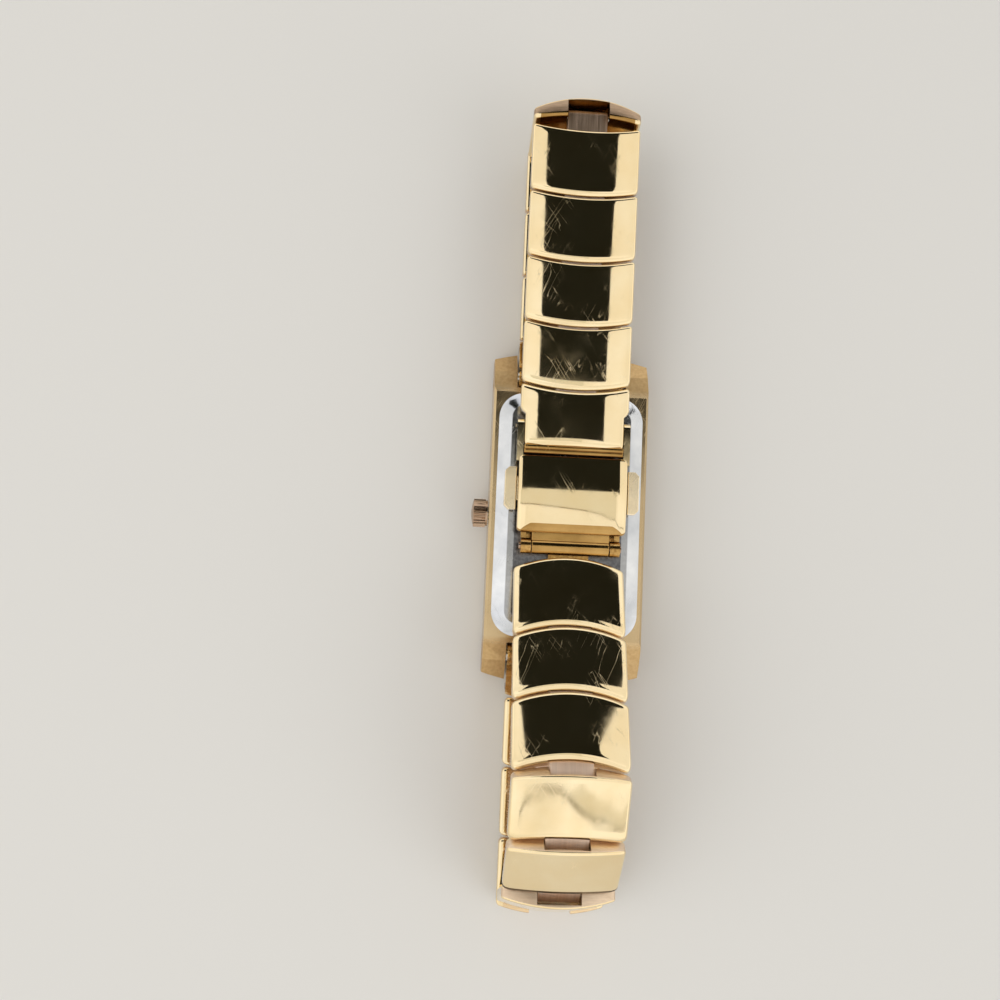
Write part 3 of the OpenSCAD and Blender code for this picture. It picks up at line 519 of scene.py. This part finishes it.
def brushed_metal(name, light, dark, along, low=0.28, high=0.45):
    """Brushed metal: streaks that run along the named axes, in colour, roughness and bump."""
    finish = Finish(name)
    streaks = finish.noise(STREAK_WAVES, 3, stretch_along(along, STREAK))
    broad = finish.noise(BROAD_WAVES, 4, stretch_along(along, BROAD_STREAK))
    tint = two_tone(finish, finish.combine(streaks, broad, "MULTIPLY"), STREAK_RAMP, dark, light)
    normal = finish.bump(streaks, *STREAK_RELIEF)
    return finish.set(Base_Color=tint, Roughness=finish.spread(streaks, low, high), Normal=normal)


brushed_across = brushed_metal("brushed_gold_across", (0.93, 0.74, 0.55), (0.74, 0.56, 0.4), "x")
brushed_along = brushed_metal("brushed_gold_along", (1.0, 0.83, 0.7), (0.88, 0.7, 0.57), "yz", 0.55, 0.7)
# These two darker brushed finishes are painted shade, for the faces inside the fold.
shaded_across = brushed_metal("shaded_gold_across", (0.6, 0.43, 0.29), (0.38, 0.26, 0.17), "x")
shaded_along = brushed_metal("shaded_gold_along", (0.52, 0.39, 0.3), (0.33, 0.24, 0.17), "yz", 0.4, 0.55)
inner_gold = brushed_metal("inner_gold", (0.92, 0.72, 0.46), (0.78, 0.57, 0.34), "x", 0.2, 0.34)
movement_metal = brushed_metal("movement_metal", (0.8, 0.64, 0.34), (0.66, 0.5, 0.25), "x", 0.3, 0.45)
print("streaks are", round(1 / STREAK), "times as long as wide")

# %% [markdown]
# ## Plastic, rubber, paint and glass
#
# The dial shows through the crystal when the watch is looked at from below. The gaskets, the
# movement's ring, the circuit board and the coil are mostly hidden inside the case. One flat colour
# would do from afar. A slight mottling and a fine grain cost nothing more and look right up close.

# %% Soft finishes and glass
MOTTLE_RAMP = (0.35, 0.65)
MOTTLE_RELIEF = (0.3, 0.00001)
SMOOTHER, ROUGHER = 0.06, 0.08
SMEARED_GLASS = 0.05


def soft_material(name, light, dark, waves, roughness, metallic=0.0):
    """Plastic, rubber or paint: mottled colour, mottled roughness and a fine grain."""
    finish = Finish(name, metallic=metallic)
    tint = two_tone(finish, finish.noise(waves, 5), MOTTLE_RAMP, dark, light)
    rough = finish.spread(finish.noise(waves * 3, 4), roughness - SMOOTHER, roughness + ROUGHER)
    normal = finish.bump(finish.noise(waves * 6, 3), *MOTTLE_RELIEF)
    return finish.set(Base_Color=tint, Roughness=rough, Normal=normal)


def glass_material():
    """Clear mineral glass with faint smears in its polish."""
    finish = Finish("crystal_glass", metallic=0.0)
    smear = finish.spread(finish.noise(300, 5), 0.0, SMEARED_GLASS)
    tint = two_tone(finish, finish.noise(90, 2), CLOUD_RAMP, (0.97, 0.985, 0.98), (1.0, 1.0, 1.0))
    return finish.set(Base_Color=tint, Roughness=smear, Transmission_Weight=1.0, IOR=1.5)


rubber = soft_material("gasket_rubber", (0.06, 0.06, 0.06), (0.03, 0.03, 0.03), 900, 0.6)
ring_plastic = soft_material("ring_plastic", (0.86, 0.86, 0.82), (0.78, 0.78, 0.74), 500, 0.45)
board = soft_material("circuit_board", (0.1, 0.34, 0.18), (0.05, 0.22, 0.11), 1500, 0.4)
copper = soft_material("copper_wire", (0.72, 0.36, 0.2), (0.5, 0.22, 0.1), 3000, 0.3, 1.0)
dial_paint = soft_material("dial_paint", (0.88, 0.8, 0.62), (0.84, 0.75, 0.56), 1200, 0.3, 0.4)
crystal_glass = glass_material()
print("materials so far:", len(bpy.data.materials))

# %% [markdown]
# ## Shells from two sheets
#
# A link is a plate with an outer and an inner skin. It could be cut from a box with modifiers, but a
# dome, a crescent edge and a rolled rim together are simpler as a formula. Both skins are grids with
# the same rows and columns, so closing the solid takes only a strip of faces round the rim.

# %% Grids and shells
OUTER, INNER, SIDES, ENDS = 0, 1, 2, 3


def grid_faces(rows, columns, start=0, flip=False):
    """Quads of a grid of points stored row by row."""
    i, j = np.meshgrid(np.arange(rows - 1), np.arange(columns - 1), indexing="ij")
    corner = (start + i * columns + j).ravel()
    quads = np.stack([corner, corner + columns, corner + columns + 1, corner + 1], 1)
    return quads[:, ::-1] if flip else quads


def sheet_shell(outer, inner):
    """Closes two grids of points, (rows, columns, 3), into one solid.

    The faces are the outer grid, the inner grid turned over, and one strip round the rim.
    Also returns the part that each face belongs to: outer, inner, sides or ends."""
    rows, columns = outer.shape[:2]
    count = rows * columns
    index = np.arange(count).reshape(rows, columns)
    left, far = index[:, 0], index[-1, :]
    right, near = index[::-1, -1], index[0, ::-1]
    faces = [grid_faces(rows, columns), grid_faces(rows, columns, count, True)]
    parts = [np.full(len(faces[0]), OUTER), np.full(len(faces[1]), INNER)]
    for rim, part in ((left, SIDES), (far, ENDS), (right, SIDES), (near, ENDS)):
        here, after = rim[:-1], rim[1:]
        faces.append(np.stack([after, here, here + count, after + count], 1))
        parts.append(np.full(len(here), part))
    points = np.concatenate([outer.reshape(-1, 3), inner.reshape(-1, 3)])
    return points, np.concatenate(faces), np.concatenate(parts)


print("a shell of 3 x 4 points has", len(sheet_shell(np.zeros((3, 4, 3)), np.ones((3, 4, 3)))[1]), "faces")

# %% [markdown]
# ## Rolled edges
#
# Tumbling and polishing leave no sharp edge on a bracelet, and the rolled rims carry its brightest
# lines. A bevel modifier could round them, but it makes every edge alike. Here each edge drops like a
# quarter ellipse of its own width and depth, and rows of points lie closer together where it does.

# %% Rolled edges
def edge_steps(length, near_r, far_r, turns=6, middle=10):
    """Places from 0 to length, set closer where the surface rolls over within a radius of either end.

    Within a radius the places are r (1 - cos a) for even angles a, and even steps lie between."""
    a = np.linspace(0, math.pi / 2, turns)
    start = near_r * (1 - np.cos(a))
    end = length - far_r * (1 - np.cos(a[::-1]))
    return np.concatenate([start, np.linspace(near_r, length - far_r, middle)[1:-1], end])


def roll(distance, width, depth):
    """Depth of an edge rolled like a quarter ellipse: depth (1 - sqrt(1 - (1 - d / width)^2)), 0 beyond."""
    t = np.clip(1 - distance / width, 0, 1)
    return depth * (1 - np.sqrt(1 - t ** 2))


print("an edge 1 wide and 1 deep has dropped", round(float(roll(0.5, 1, 1)), 3), "at its middle")

# %% [markdown]
# ## Bars across the bracelet
#
# Tongues, pins, lips and the hinge's barrel are all one outline in the YZ plane, carried along X. A
# cylinder or cube would have sharp ends, so the outline shrinks a little over the last rings, which
# rounds the ends as a turned or filed part is rounded.

# %% Outlines and bars
def disc_outline(y, z, radius, count=28):
    """A circle, for pins and barrels: centre + (radius - inset) (cos a, sin a)."""
    a = np.linspace(0, 2 * math.pi, count, endpoint=False)
    return lambda inset: (y + (radius - inset) * np.cos(a), z + (radius - inset) * np.sin(a))


def slab_outline(y0, y1, z0, z1, r, count=5):
    """A rectangle whose corners are quarter circles about four centres."""
    a = np.concatenate([np.linspace(0, math.pi / 2, count) + k * math.pi / 2 for k in range(4)])
    y = np.repeat([y1 - r, y0 + r, y0 + r, y1 - r], count)
    z = np.repeat([z1 - r, z1 - r, z0 + r, z0 + r], count)
    return lambda inset: (y + (r - inset) * np.cos(a), z + (r - inset) * np.sin(a))


def tongue_outline(reach, radius, count=17):
    """A round nose about the pin, running into a flat bar: half a circle and two straight sides."""
    a = np.linspace(math.pi / 2, 3 * math.pi / 2, count)

    def outline(inset):
        r = radius - inset
        end = np.full_like(r, reach)
        return np.hstack([r * np.cos(a), end, end]), np.hstack([r * np.sin(a), -r, r])

    return outline


def rounded_bar(outline, half_width, edge, turns=4):
    """A closed bar across X whose outline, a function of inset, shrinks over its rounded ends.

    The rings lie at x = half_width - edge (1 - cos a), with an inset of edge (1 - sin a). Returns its
    points and its faces, sides and caps apart."""
    a = np.linspace(0, math.pi / 2, turns)
    place, inset = half_width - edge * (1 - np.cos(a)), edge * (1 - np.sin(a))
    x = np.concatenate([-place, place[::-1]])
    y, z = outline(np.concatenate([inset, inset[::-1]])[:, None])
    rings, n = y.shape
    points = np.stack([np.broadcast_to(x[:, None], y.shape), y, z], -1).reshape(-1, 3)
    i, j = np.meshgrid(np.arange(rings - 1), np.arange(n), indexing="ij")
    here, after = (i * n + j).ravel(), (i * n + (j + 1) % n).ravel()
    sides = np.stack([here, after, after + n, here + n], 1)
    caps = np.stack([np.arange(n)[::-1], (rings - 1) * n + np.arange(n)])
    return points, [sides, caps]


print("points of a pin:", len(rounded_bar(disc_outline(0, 0, 1), 5, 0.1)[0]))

# %% [markdown]
# ## Putting shapes together
#
# A real link is a plate with a tongue and a pressed pin, which move as one. They could be three
# objects, but one mesh with several finishes is easier to keep on its body. Shapes may be listed with
# their faces pointing in or out, so each is turned outward by the sign of its volume.

# %% From shapes to an object
SHARP_DEGREES = 35


def fans(polygons):
    """Triangles that fan out from each polygon's first corner."""
    first = np.broadcast_to(polygons[:, :1], polygons[:, 2:].shape)
    return np.stack([first, polygons[:, 1:-1], polygons[:, 2:]], -1).reshape(-1, 3)


def outward(points, groups):
    """Turns a closed shape's faces outward: its signed volume, the sum of a . (b x c) / 6, is positive."""
    a, b, c = np.moveaxis(points[np.concatenate([fans(group) for group in groups])], 1, 0)
    volume = (a * np.cross(b, c)).sum() / 6
    return groups if volume > 0 else [group[:, ::-1] for group in groups]


def joined(shapes):
    """Puts several closed shapes into one list of points, faces and finish numbers."""
    points, faces, which, start = [], [], [], 0
    for shape_points, groups, finish in shapes:
        for group in outward(shape_points, groups):
            faces += (group + start).tolist()
        points.append(shape_points)
        which.append(np.broadcast_to(finish, sum(len(group) for group in groups)))
        start += len(shape_points)
    return np.concatenate(points), faces, np.concatenate(which)


def mesh_object(name, points, faces, materials, which):
    """Makes a smooth-shaded object whose edges above an angle stay crisp."""
    mesh = bpy.data.meshes.new(name)
    mesh.from_pydata(points, [], faces)
    for material in materials:
        mesh.materials.append(material)
    mesh.polygons.foreach_set("material_index", which.astype(np.int32))
    mesh.polygons.foreach_set("use_smooth", np.ones(len(faces), bool))
    mesh.set_sharp_from_angle(angle=math.radians(SHARP_DEGREES))
    mesh.update()
    obj = bpy.data.objects.new(name, mesh)
    bpy.context.scene.collection.objects.link(obj)
    return obj


def into_frame(points, origin, along, mirrored):
    """Carries points from a piece's own frame to the watch: x across, y along it, z to the skin side."""
    dy, dz = along
    inward = np.array([0, dz, -dy]) if mirrored else np.array([0, -dz, dy])
    across = np.array([-1, 0, 0]) if mirrored else np.array([1, 0, 0])
    return origin + (points * MM) @ np.stack([across, np.array([0, dy, dz]), inward])


def place_piece(name, body, node, along, mirrored, shapes, finishes):
    """Builds one piece from its shapes in the watch's frame, in place of its solid."""
    points, faces, which = joined(shapes)
    piece = mesh_object(name, into_frame(points, joint_at[body], along, mirrored), faces, finishes, which)
    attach(piece, body)
    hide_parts(node)


print("edges over", SHARP_DEGREES, "degrees stay crisp")

# %% [markdown]
# ## Bracelet links
#
# Each link is a domed plate between two crescent edges. The tip towards the clasp hides a slot, open
# only to the skin side, and the next link's tongue turns in it on a pin. The outer face is mirror
# polished and rolls over at its ends, the tongue is brushed lengthwise, and the end faces are brushed
# across. One link could be made and copied, but the joint spacing differs where the bracelet folds, so
# a function of that spacing makes each one.

# %% Link sizes, in millimetres
HALF_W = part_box("link_12_3")[1].x / MM
PIN_IN = 0.85
PIN_OUT = 1.75
PIN_TIP = 1.9
PIN_R = 0.45
PIN_PROUD = 0.01
DOME = 1.1
BOW = 1.05
GAP = 0.3
TIP_R = (HALF_W ** 2 + BOW ** 2) / (2 * BOW)
DOME_R = (HALF_W ** 2 + DOME ** 2) / (2 * DOME)
BAR_EDGE = 0.12
PIN_EDGE = 0.08
TONGUE_HALF = 2.45
TONGUE_LAP = 1
SLOT_HALF = 2.55
SLOT_CEILING = 1.25
SLOT_DEPTH = 1.5
print("link, millimetres wide:", round(2 * HALF_W, 2), "dome radius:", round(DOME_R, 1))

# %% Edges of a link, and how finely it is divided
# A roll is the width and the depth of a rolled edge.
SIDE_ROLL = (0.35, 0.2)
INNER_ROLL = (0.4, 0.4)
INNER_SIDE_ROLL = (0.4, 0.3)
CRISP_ROLL = (0.4, 0.22)
SHORT_ROLL = (0.75, 0.4)
LONG_ROLL = (1.15, 0.6)
CORNER = 0.4
WIDE_CORNER = 0.85
RIM = 0.9
EDGE_LINE = 0.78
THIN = 0.004
# Rows run across a link and columns along it. The last two are shares of the plate's length.
ROLL_ROWS, PLAIN_ROWS = 8, 16
ROLL_COLUMNS, PLAIN_COLUMNS = 6, 28
WALL_CLEAR = 0.15
BACK_CLEAR = 0.012
BACK_STEP = 0.0006


def bow_line(x):
    """How far the crescent edge falls back from its middle: R - sqrt(R^2 - x^2)."""
    return TIP_R - np.sqrt(TIP_R ** 2 - x ** 2)


def dome_height(x):
    """Height of the outer face over the pins' plane, by the same circle rule as the edge."""
    return PIN_OUT - (DOME_R - np.sqrt(DOME_R ** 2 - x ** 2))


def link_columns(slot):
    """Places across a link as shares of its half width, doubled at the slot's walls."""
    x = edge_steps(2 * HALF_W, SIDE_ROLL[0], SIDE_ROLL[0], ROLL_COLUMNS, PLAIN_COLUMNS) - HALF_W
    if slot:
        x = x[np.abs(np.abs(x) - SLOT_HALF) > WALL_CLEAR]
        walls = np.array([SLOT_HALF, SLOT_HALF + THIN])
        x = np.sort(np.concatenate([x, walls, -walls]))
    return x / HALF_W


def link_rows(length, near_roll, far_roll, slot, back):
    """Places along a link as shares of its length, doubled at the slot's back wall."""
    rows = edge_steps(1, near_roll[0] / length, far_roll[0] / length, ROLL_ROWS, PLAIN_ROWS)
    if slot:
        rows = np.sort(np.concatenate([rows[np.abs(rows - back) > BACK_CLEAR], [back, back + BACK_STEP]]))
    return rows


print("columns across a link:", len(link_columns(True)))

# %% The plate of a link
TONGUE, PIN, LIP, DARK_REFLECTION = 4, 5, 6, 7


def link_plate(near, far, near_roll, far_roll, near_corner=CORNER, far_bow=1, slot=True,
               half=lambda y: HALF_W, edge_finish=OUTER):
    """Outer and inner skins of a link between two places along it, measured from its tongue's pin.

    A row is a curve across: y = place - bow(x). The outer skin is the dome, less the rolled edges;
    the inner skin is flat at the skin side, less its bevels, and rises to the slot's ceiling. The
    outer skin's first rows, where it rolls over to the tongue, can have a finish of their own."""
    length = far - near
    back = (far - PIN_TIP - SLOT_DEPTH - near) / length
    rows, columns = link_rows(length, near_roll, far_roll, slot, back), link_columns(slot)
    along, across = np.meshgrid(rows, columns, indexing="ij")
    x = across * half(near + length * along)
    to_side = HALF_W * (1 - np.abs(across))
    y0 = near - bow_line(x) + roll(to_side, near_corner, near_corner)
    y1 = far - far_bow * bow_line(x) - roll(to_side, CORNER, CORNER)
    y = y0 + (y1 - y0) * along
    over = roll(y - y0, *near_roll) + roll(y1 - y, *far_roll)
    outer_z = -(dome_height(x) - np.hypot(over, roll(to_side, *SIDE_ROLL)))
    bevel = roll(y - y0, *INNER_ROLL) + roll(y1 - y, *INNER_ROLL)
    inner_z = PIN_IN - np.hypot(bevel, roll(to_side, *INNER_SIDE_ROLL))
    if slot:
        in_slot = (np.abs(x) <= SLOT_HALF + THIN / 4) & (along > back + BACK_STEP / 2)
        inner_z = np.where(in_slot, -SLOT_CEILING, inner_z)
    points, faces, which = sheet_shell(np.stack([x, y, outer_z], -1), np.stack([x, y, inner_z], -1))
    row_of_face = np.minimum(np.arange(len(faces)) // (len(columns) - 1), len(rows) - 1)
    edge = (which == OUTER) & (rows[row_of_face] < EDGE_LINE / length)
    polished_rim = (which == INNER) & (np.abs(points[faces].mean(1)[:, 0]) > HALF_W - RIM)
    return points, [faces], np.where(polished_rim, OUTER, np.where(edge, edge_finish, which))


def tongue_bar():
    """The tongue: a round nose about its pin and a flat bar into its plate."""
    return rounded_bar(tongue_outline(PIN_TIP + GAP + TONGUE_LAP, PIN_IN), TONGUE_HALF, BAR_EDGE)


def plain_link_shapes(pitch, near_roll, far_roll, near_corner, edge_finish):
    """Plate, tongue and pin of a link with this joint spacing."""
    plate = link_plate(PIN_TIP + GAP, pitch + PIN_TIP, near_roll, far_roll, near_corner,
                       edge_finish=edge_finish)
    pin = rounded_bar(disc_outline(pitch, 0, PIN_R), HALF_W + PIN_PROUD, PIN_EDGE)
    return [plate, (*tongue_bar(), TONGUE), (*pin, PIN)]


print("faces of a plate:", len(link_plate(0, 6, CRISP_ROLL, CRISP_ROLL)[1][0]))

# %% [markdown]
# ## Both halves of the bracelet
#
# The halves meet at the clasp. Links of the 12 o'clock half have crisp near edges, and those of the 6
# o'clock half roll over in a long soft curve, as the picture shows. Each link could be placed by hand,
# but its joints already say where it starts, where it points and how long it is. Two links at a fold
# have darker inner and brushed faces than the rest, painted shade inside the fold, and a painted dark
# reflection runs along the rolled edge at the other fold.

# %% Make the links
# One finish for each part: outer, inner, sides, ends, tongue, pin, lips and dark line.
# The lips' darker gold is painted shade and reflection, the dark line is a painted dark reflection, and the
# fold's darker faces are painted shade.
LINK_FINISHES = [gold, inner_gold, gold, brushed_across, brushed_along, small_steel, shaded_gold, dark_reflection_line]
FOLD_FINISHES = [gold, shaded_gold, gold, shaded_across, shaded_along, small_steel, shaded_gold, dark_reflection_line]
FOLD_LINKS = ("link_12_5", "link_12_6")
DARK_REFLECTION_LINK = "link_6_6"
half_12 = ["end_link_12"] + ["link_12_%d" % k for k in range(2, 10)] + ["catch_link"]
half_6 = ["end_link_6"] + ["link_6_%d" % k for k in range(2, 11)] + ["clasp"]


def along_and_pitch(here, there):
    """Direction in the YZ plane from one joint to the next, and their distance in millimetres."""
    step = (there - here)[1:]
    size = np.linalg.norm(step)
    return step / size, size / MM


def make_half(names, mirrored, near_roll, far_roll, near_corner):
    """Makes every plain link of one half, from its end link to its last joint."""
    for here, there in zip(names[1:-1], names[2:]):
        direction, pitch = along_and_pitch(joint_at[here], joint_at[there])
        # One link's rolled edge takes the painted dark reflection.
        edge_finish = DARK_REFLECTION if here == DARK_REFLECTION_LINK else OUTER
        shapes = plain_link_shapes(pitch, near_roll, far_roll, near_corner, edge_finish)
        finishes = FOLD_FINISHES if here in FOLD_LINKS else LINK_FINISHES
        place_piece(here + "_plate", here, here, direction, mirrored, shapes, finishes)


make_half(half_12, False, CRISP_ROLL, SHORT_ROLL, CORNER)
make_half(half_6, True, LONG_ROLL, CRISP_ROLL, WIDE_CORNER)
print("links made:", len(half_12 + half_6) - 4)

# %% [markdown]
# ## The catch link
#
# The last link of the 12 o'clock half ends between the clasp's ears. It is waisted there, and two
# rounded lips at its end lie under the clasp's front wall. The waist could be cut out of a finished
# link, but a half width that steps down along the link keeps the rolled rim whole.

# %% Make the catch link
# T is a thickness, H a height and R a radius. Root and level are depths under the outer face.
EAR_GAP = 0.45
WAIST_HALF = 5.98
WAIST_STEP = 0.5
LIP_T, LIP_GAP = 0.45, 0.05
LIP_ROOT, LIP_LEVEL, LIP_H = 0.55, 0.85, 0.5
LIP_R, LIP_EDGE = 0.2, 0.15
LIP_FROM = 0.2
ROOT_FROM = 0.15
CROSS_PIN = 1.1
catch_joint = joint_at["catch_link"] / MM
catch_len = catch_joint[1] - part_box("catch_link")[0].y / MM - 2 * LIP_T - LIP_GAP
waist_from = catch_joint[1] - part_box("clasp_base")[1].y / MM - EAR_GAP


def waist(y):
    """Half width along the catch link: a smooth step, s^2 (3 - 2 s), from full width to the waist."""
    s = np.clip((y - waist_from) / WAIST_STEP + 0.5, 0, 1)
    return HALF_W + (WAIST_HALF - HALF_W) * s * s * (3 - 2 * s)


def catch_link_shapes():
    """Plate, the two lips, tongue and the cross pin's ends."""
    plate = link_plate(PIN_TIP + GAP, catch_len, SHORT_ROLL, SHORT_ROLL, far_bow=0, slot=False, half=waist)
    root = slab_outline(catch_len - ROOT_FROM, catch_len + LIP_T, LIP_ROOT - PIN_OUT, PIN_IN - LIP_ROOT,
                        LIP_R)
    lip = slab_outline(catch_len + LIP_FROM, catch_len + 2 * LIP_T + LIP_GAP, LIP_LEVEL - PIN_OUT,
                       LIP_LEVEL - PIN_OUT + LIP_H, LIP_R)
    pin = rounded_bar(disc_outline(catch_len - CROSS_PIN, 0, PIN_R), WAIST_HALF + PIN_PROUD, PIN_EDGE)
    # The lips wear the darker gold: painted shade and reflection of the gold round them.
    lips = [(*rounded_bar(outline, WAIST_HALF, LIP_EDGE), LIP) for outline in (root, lip)]
    return [plate] + lips + [(*tongue_bar(), TONGUE), (*pin, PIN)]


place_piece("catch_link_plate", "catch_link", "catch_link", (-1, 0), False, catch_link_shapes(),
            LINK_FINISHES)
print("catch link, millimetres from its joint to its end:", round(catch_len, 2))

# %% [markdown]
# ## The clasp's cover
#
# The cover is one pressed sheet, curved along the bracelet, with a sloping facet along each side. It
# turns on a barrel at its 6 o'clock end, and a web joins the two. Above the hinge the sheet drops in a
# narrow arched band. Relief from a bump could hint at it, but only a real drop bends the reflections
# sharply, so the first rows of the sheet are the band, and its edge is a row of points.

# %% Sizes of the cover, in millimetres
# T is a thickness and R a radius. An edge or corner is the width and the depth of its roll.
cover_lo, cover_hi = (np.array(corner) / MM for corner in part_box("clasp_cover"))
hinge = joint_at["cover"] / MM
COVER_HALF = cover_hi[0]
COVER_R = 26.5
COVER_T = 1.0
COVER_GAP = 0.65
BARREL_R = hinge[1] - cover_lo[1]
COVER_FROM = BARREL_R + COVER_GAP
COVER_TO = cover_hi[1] - hinge[1]
COVER_TOP = cover_hi[2] - hinge[2]
COVER_KNUCKLE = 4.65
BARREL_SIDES = 40
LEAST_T = 0.06
WEB_LAP, WEB_BELOW, WEB_TOP = 0.6, 0.25, -0.1
SIDE_SLOPE = 0.2
SIDE_FACET = 1.05
SIDE_EDGE = (0.3, 0.16)
FRONT_EDGE = (0.15, 0.08)
HINGE_CORNER = (0.6, 0.45)
FRONT_CORNER = (0.45, 0.35)
print("cover, millimetres:", np.round(cover_hi - cover_lo, 2))

# %% The sheet of the cover
# The band's values say how wide it is, how far it drops, and how it narrows to the sides.
BAND = 1.1
BAND_DROP = 0.38
BAND_ROWS = 10
BAND_FROM = 0.35
BAND_ARCH = 1.3
BAND_LEAST = 0.08
BAND_BEND = 0.6
BAND_REACH = 0.94
BAND_FALL = 0.66
SIDE_STEPS = (9, 40)
LONG_STEPS = (4, 26)
END_SHARE = 0.05


def band_width(to_side):
    """Width of the band in plan: full in the middle, and narrow at the facets by a power of the way in."""
    return BAND * np.clip((to_side - BAND_FROM) / BAND_ARCH, BAND_LEAST, 1) ** BAND_BEND


def cover_plate():
    """Sheet of the cover from its hinge, y to 12 o'clock: an arc along y, less its edges.

    Its height is top - (R - sqrt(R^2 - y^2)). In the band it also drops like a part of a quarter
    circle, 1 - sqrt(1 - t^2), and the first rows of the grid cover the band."""
    x = edge_steps(2 * COVER_HALF, SIDE_FACET, SIDE_FACET, *SIDE_STEPS) - COVER_HALF
    to_side = COVER_HALF - np.abs(x)
    y0 = COVER_FROM + roll(to_side, *HINGE_CORNER)
    y1 = COVER_TO - roll(to_side, *FRONT_CORNER)
    band = band_width(to_side)
    t = np.linspace(0, 1, BAND_ROWS)[:, None]
    in_band = y0 + band * (1 - np.cos(t * math.pi / 2))
    rest = y0 + band + (y1 - y0 - band) * edge_steps(1, END_SHARE, END_SHARE, *LONG_STEPS)[1:, None]
    y = np.concatenate([in_band, rest])
    into_band = np.clip(1 - (y - y0) / band, 0, 1)
    middle = (COVER_FROM + COVER_TO) / 2
    arc = COVER_TOP - (COVER_R - np.sqrt(COVER_R ** 2 - (y - middle) ** 2))
    facet = SIDE_SLOPE * np.clip(SIDE_FACET - to_side, 0, None)
    edges = roll(to_side, *SIDE_EDGE) + roll(y1 - y, *FRONT_EDGE)
    drop = BAND_DROP * (1 - np.sqrt(1 - (BAND_REACH * into_band) ** 2)) / BAND_FALL
    top = np.maximum(arc - (facet + edges + drop), COVER_TOP - COVER_T + LEAST_T)
    x = np.broadcast_to(x, y.shape)
    under = np.full_like(y, -(COVER_TOP - COVER_T))
    points, faces, which = sheet_shell(np.stack([x, y, -top], -1), np.stack([x, y, under], -1))
    row = faces.min(1) // x.shape[1]
    return points, [faces], np.where((which == OUTER) & (row < BAND_ROWS - 1), ENDS, which)


def cover_shapes():
    """Sheet, barrel and the web between them."""
    barrel = rounded_bar(disc_outline(0, 0, BARREL_R, BARREL_SIDES), COVER_KNUCKLE, BAR_EDGE)
    web = slab_outline(0, COVER_FROM + WEB_LAP, -(COVER_TOP - COVER_T + WEB_BELOW), WEB_TOP, BAR_EDGE)
    return [cover_plate(), (*barrel, ENDS), (*rounded_bar(web, COVER_KNUCKLE, BAR_EDGE), ENDS)]


# The band, the barrel and the web wear the darker gold, painted shade and reflection round the hinge.
place_piece("cover_sheet", "cover", "clasp_cover", (1, 0), True, cover_shapes(),
            [gold, inner_gold, gold, shaded_gold])
print("cover's hinge barrel, millimetres across:", round(2 * BARREL_R, 2))

# %% [markdown]
# ## Finishes of the other solids
#
# All pieces but the plain links, the catch link and the cover keep their solids, because their shapes
# are right as they are. Rebuilding them would add nothing but a fine bevel, which catches the light
# along an edge, so the case, its back, the crystal, the crown, the clasp's base and the buttons get it
# from a modifier. A solid comes as loose triangles, and they are welded first, so that the bevel finds
# its edges.

# %% Assign finishes and soften edges
WELD_REACH = 1e-7
BEVEL_TURNS = 4
BEVEL_DEGREES = 28
finish_of = {
    "case_middle": case_gold, "case_back": steel, "back_gasket": rubber, "crystal": crystal_glass,
    "crystal_gasket": ring_plastic, "dial": dial_paint, "hour_markers": pale_gold,
    "movement_ring": ring_plastic, "movement_plate": movement_metal, "movement_coil": copper,
    "circuit_board": board, "battery": small_steel, "battery_clamp": small_steel,
    "crown_tube": movement_metal, "spring_bars": small_steel, "crown": rose_gold,
    "winding_stem": small_steel, "setting_lever": small_steel, "hour_hand": pale_gold,
    "hour_wheel": movement_metal, "minute_hand": pale_gold, "cannon_pinion": small_steel,
    "clasp_base": clasp_gold, "cover_hinge_pin": rose_gold,
    "push_button_left": pale_gold, "push_button_right": pale_gold,
    "button_spring_left": small_steel, "button_spring_right": small_steel,
    "end_link_12": gold, "end_link_6": gold,
}
softened = {"case_middle": 0.08, "case_back": 0.12, "clasp_base": 0.1, "push_button_left": 0.12,
            "push_button_right": 0.12, "crystal": 0.12, "crown": 0.03}


def soften(solid, width):
    """Rounds a solid's edges by this many millimetres."""
    weld = solid.modifiers.new("weld", "WELD")
    weld.merge_threshold = WELD_REACH
    bevel = solid.modifiers.new("bevel", "BEVEL")
    bevel.width = width * MM
    bevel.segments = BEVEL_TURNS
    bevel.limit_method = "ANGLE"
    bevel.angle_limit = math.radians(BEVEL_DEGREES)


for node_name, material in finish_of.items():
    solid = nodes[node_name]
    solid.data.materials.clear()
    solid.data.materials.append(material)
    if node_name in softened:
        soften(solid, softened[node_name])
print("finished solids:", len(finish_of), "softened:", len(softened))

# %% [markdown]
# ## Sizes
#
# A finish must not change the size of a watch. The box of the solids and the box of the finished watch
# could be compared by eye, but a small overlap hides easily.
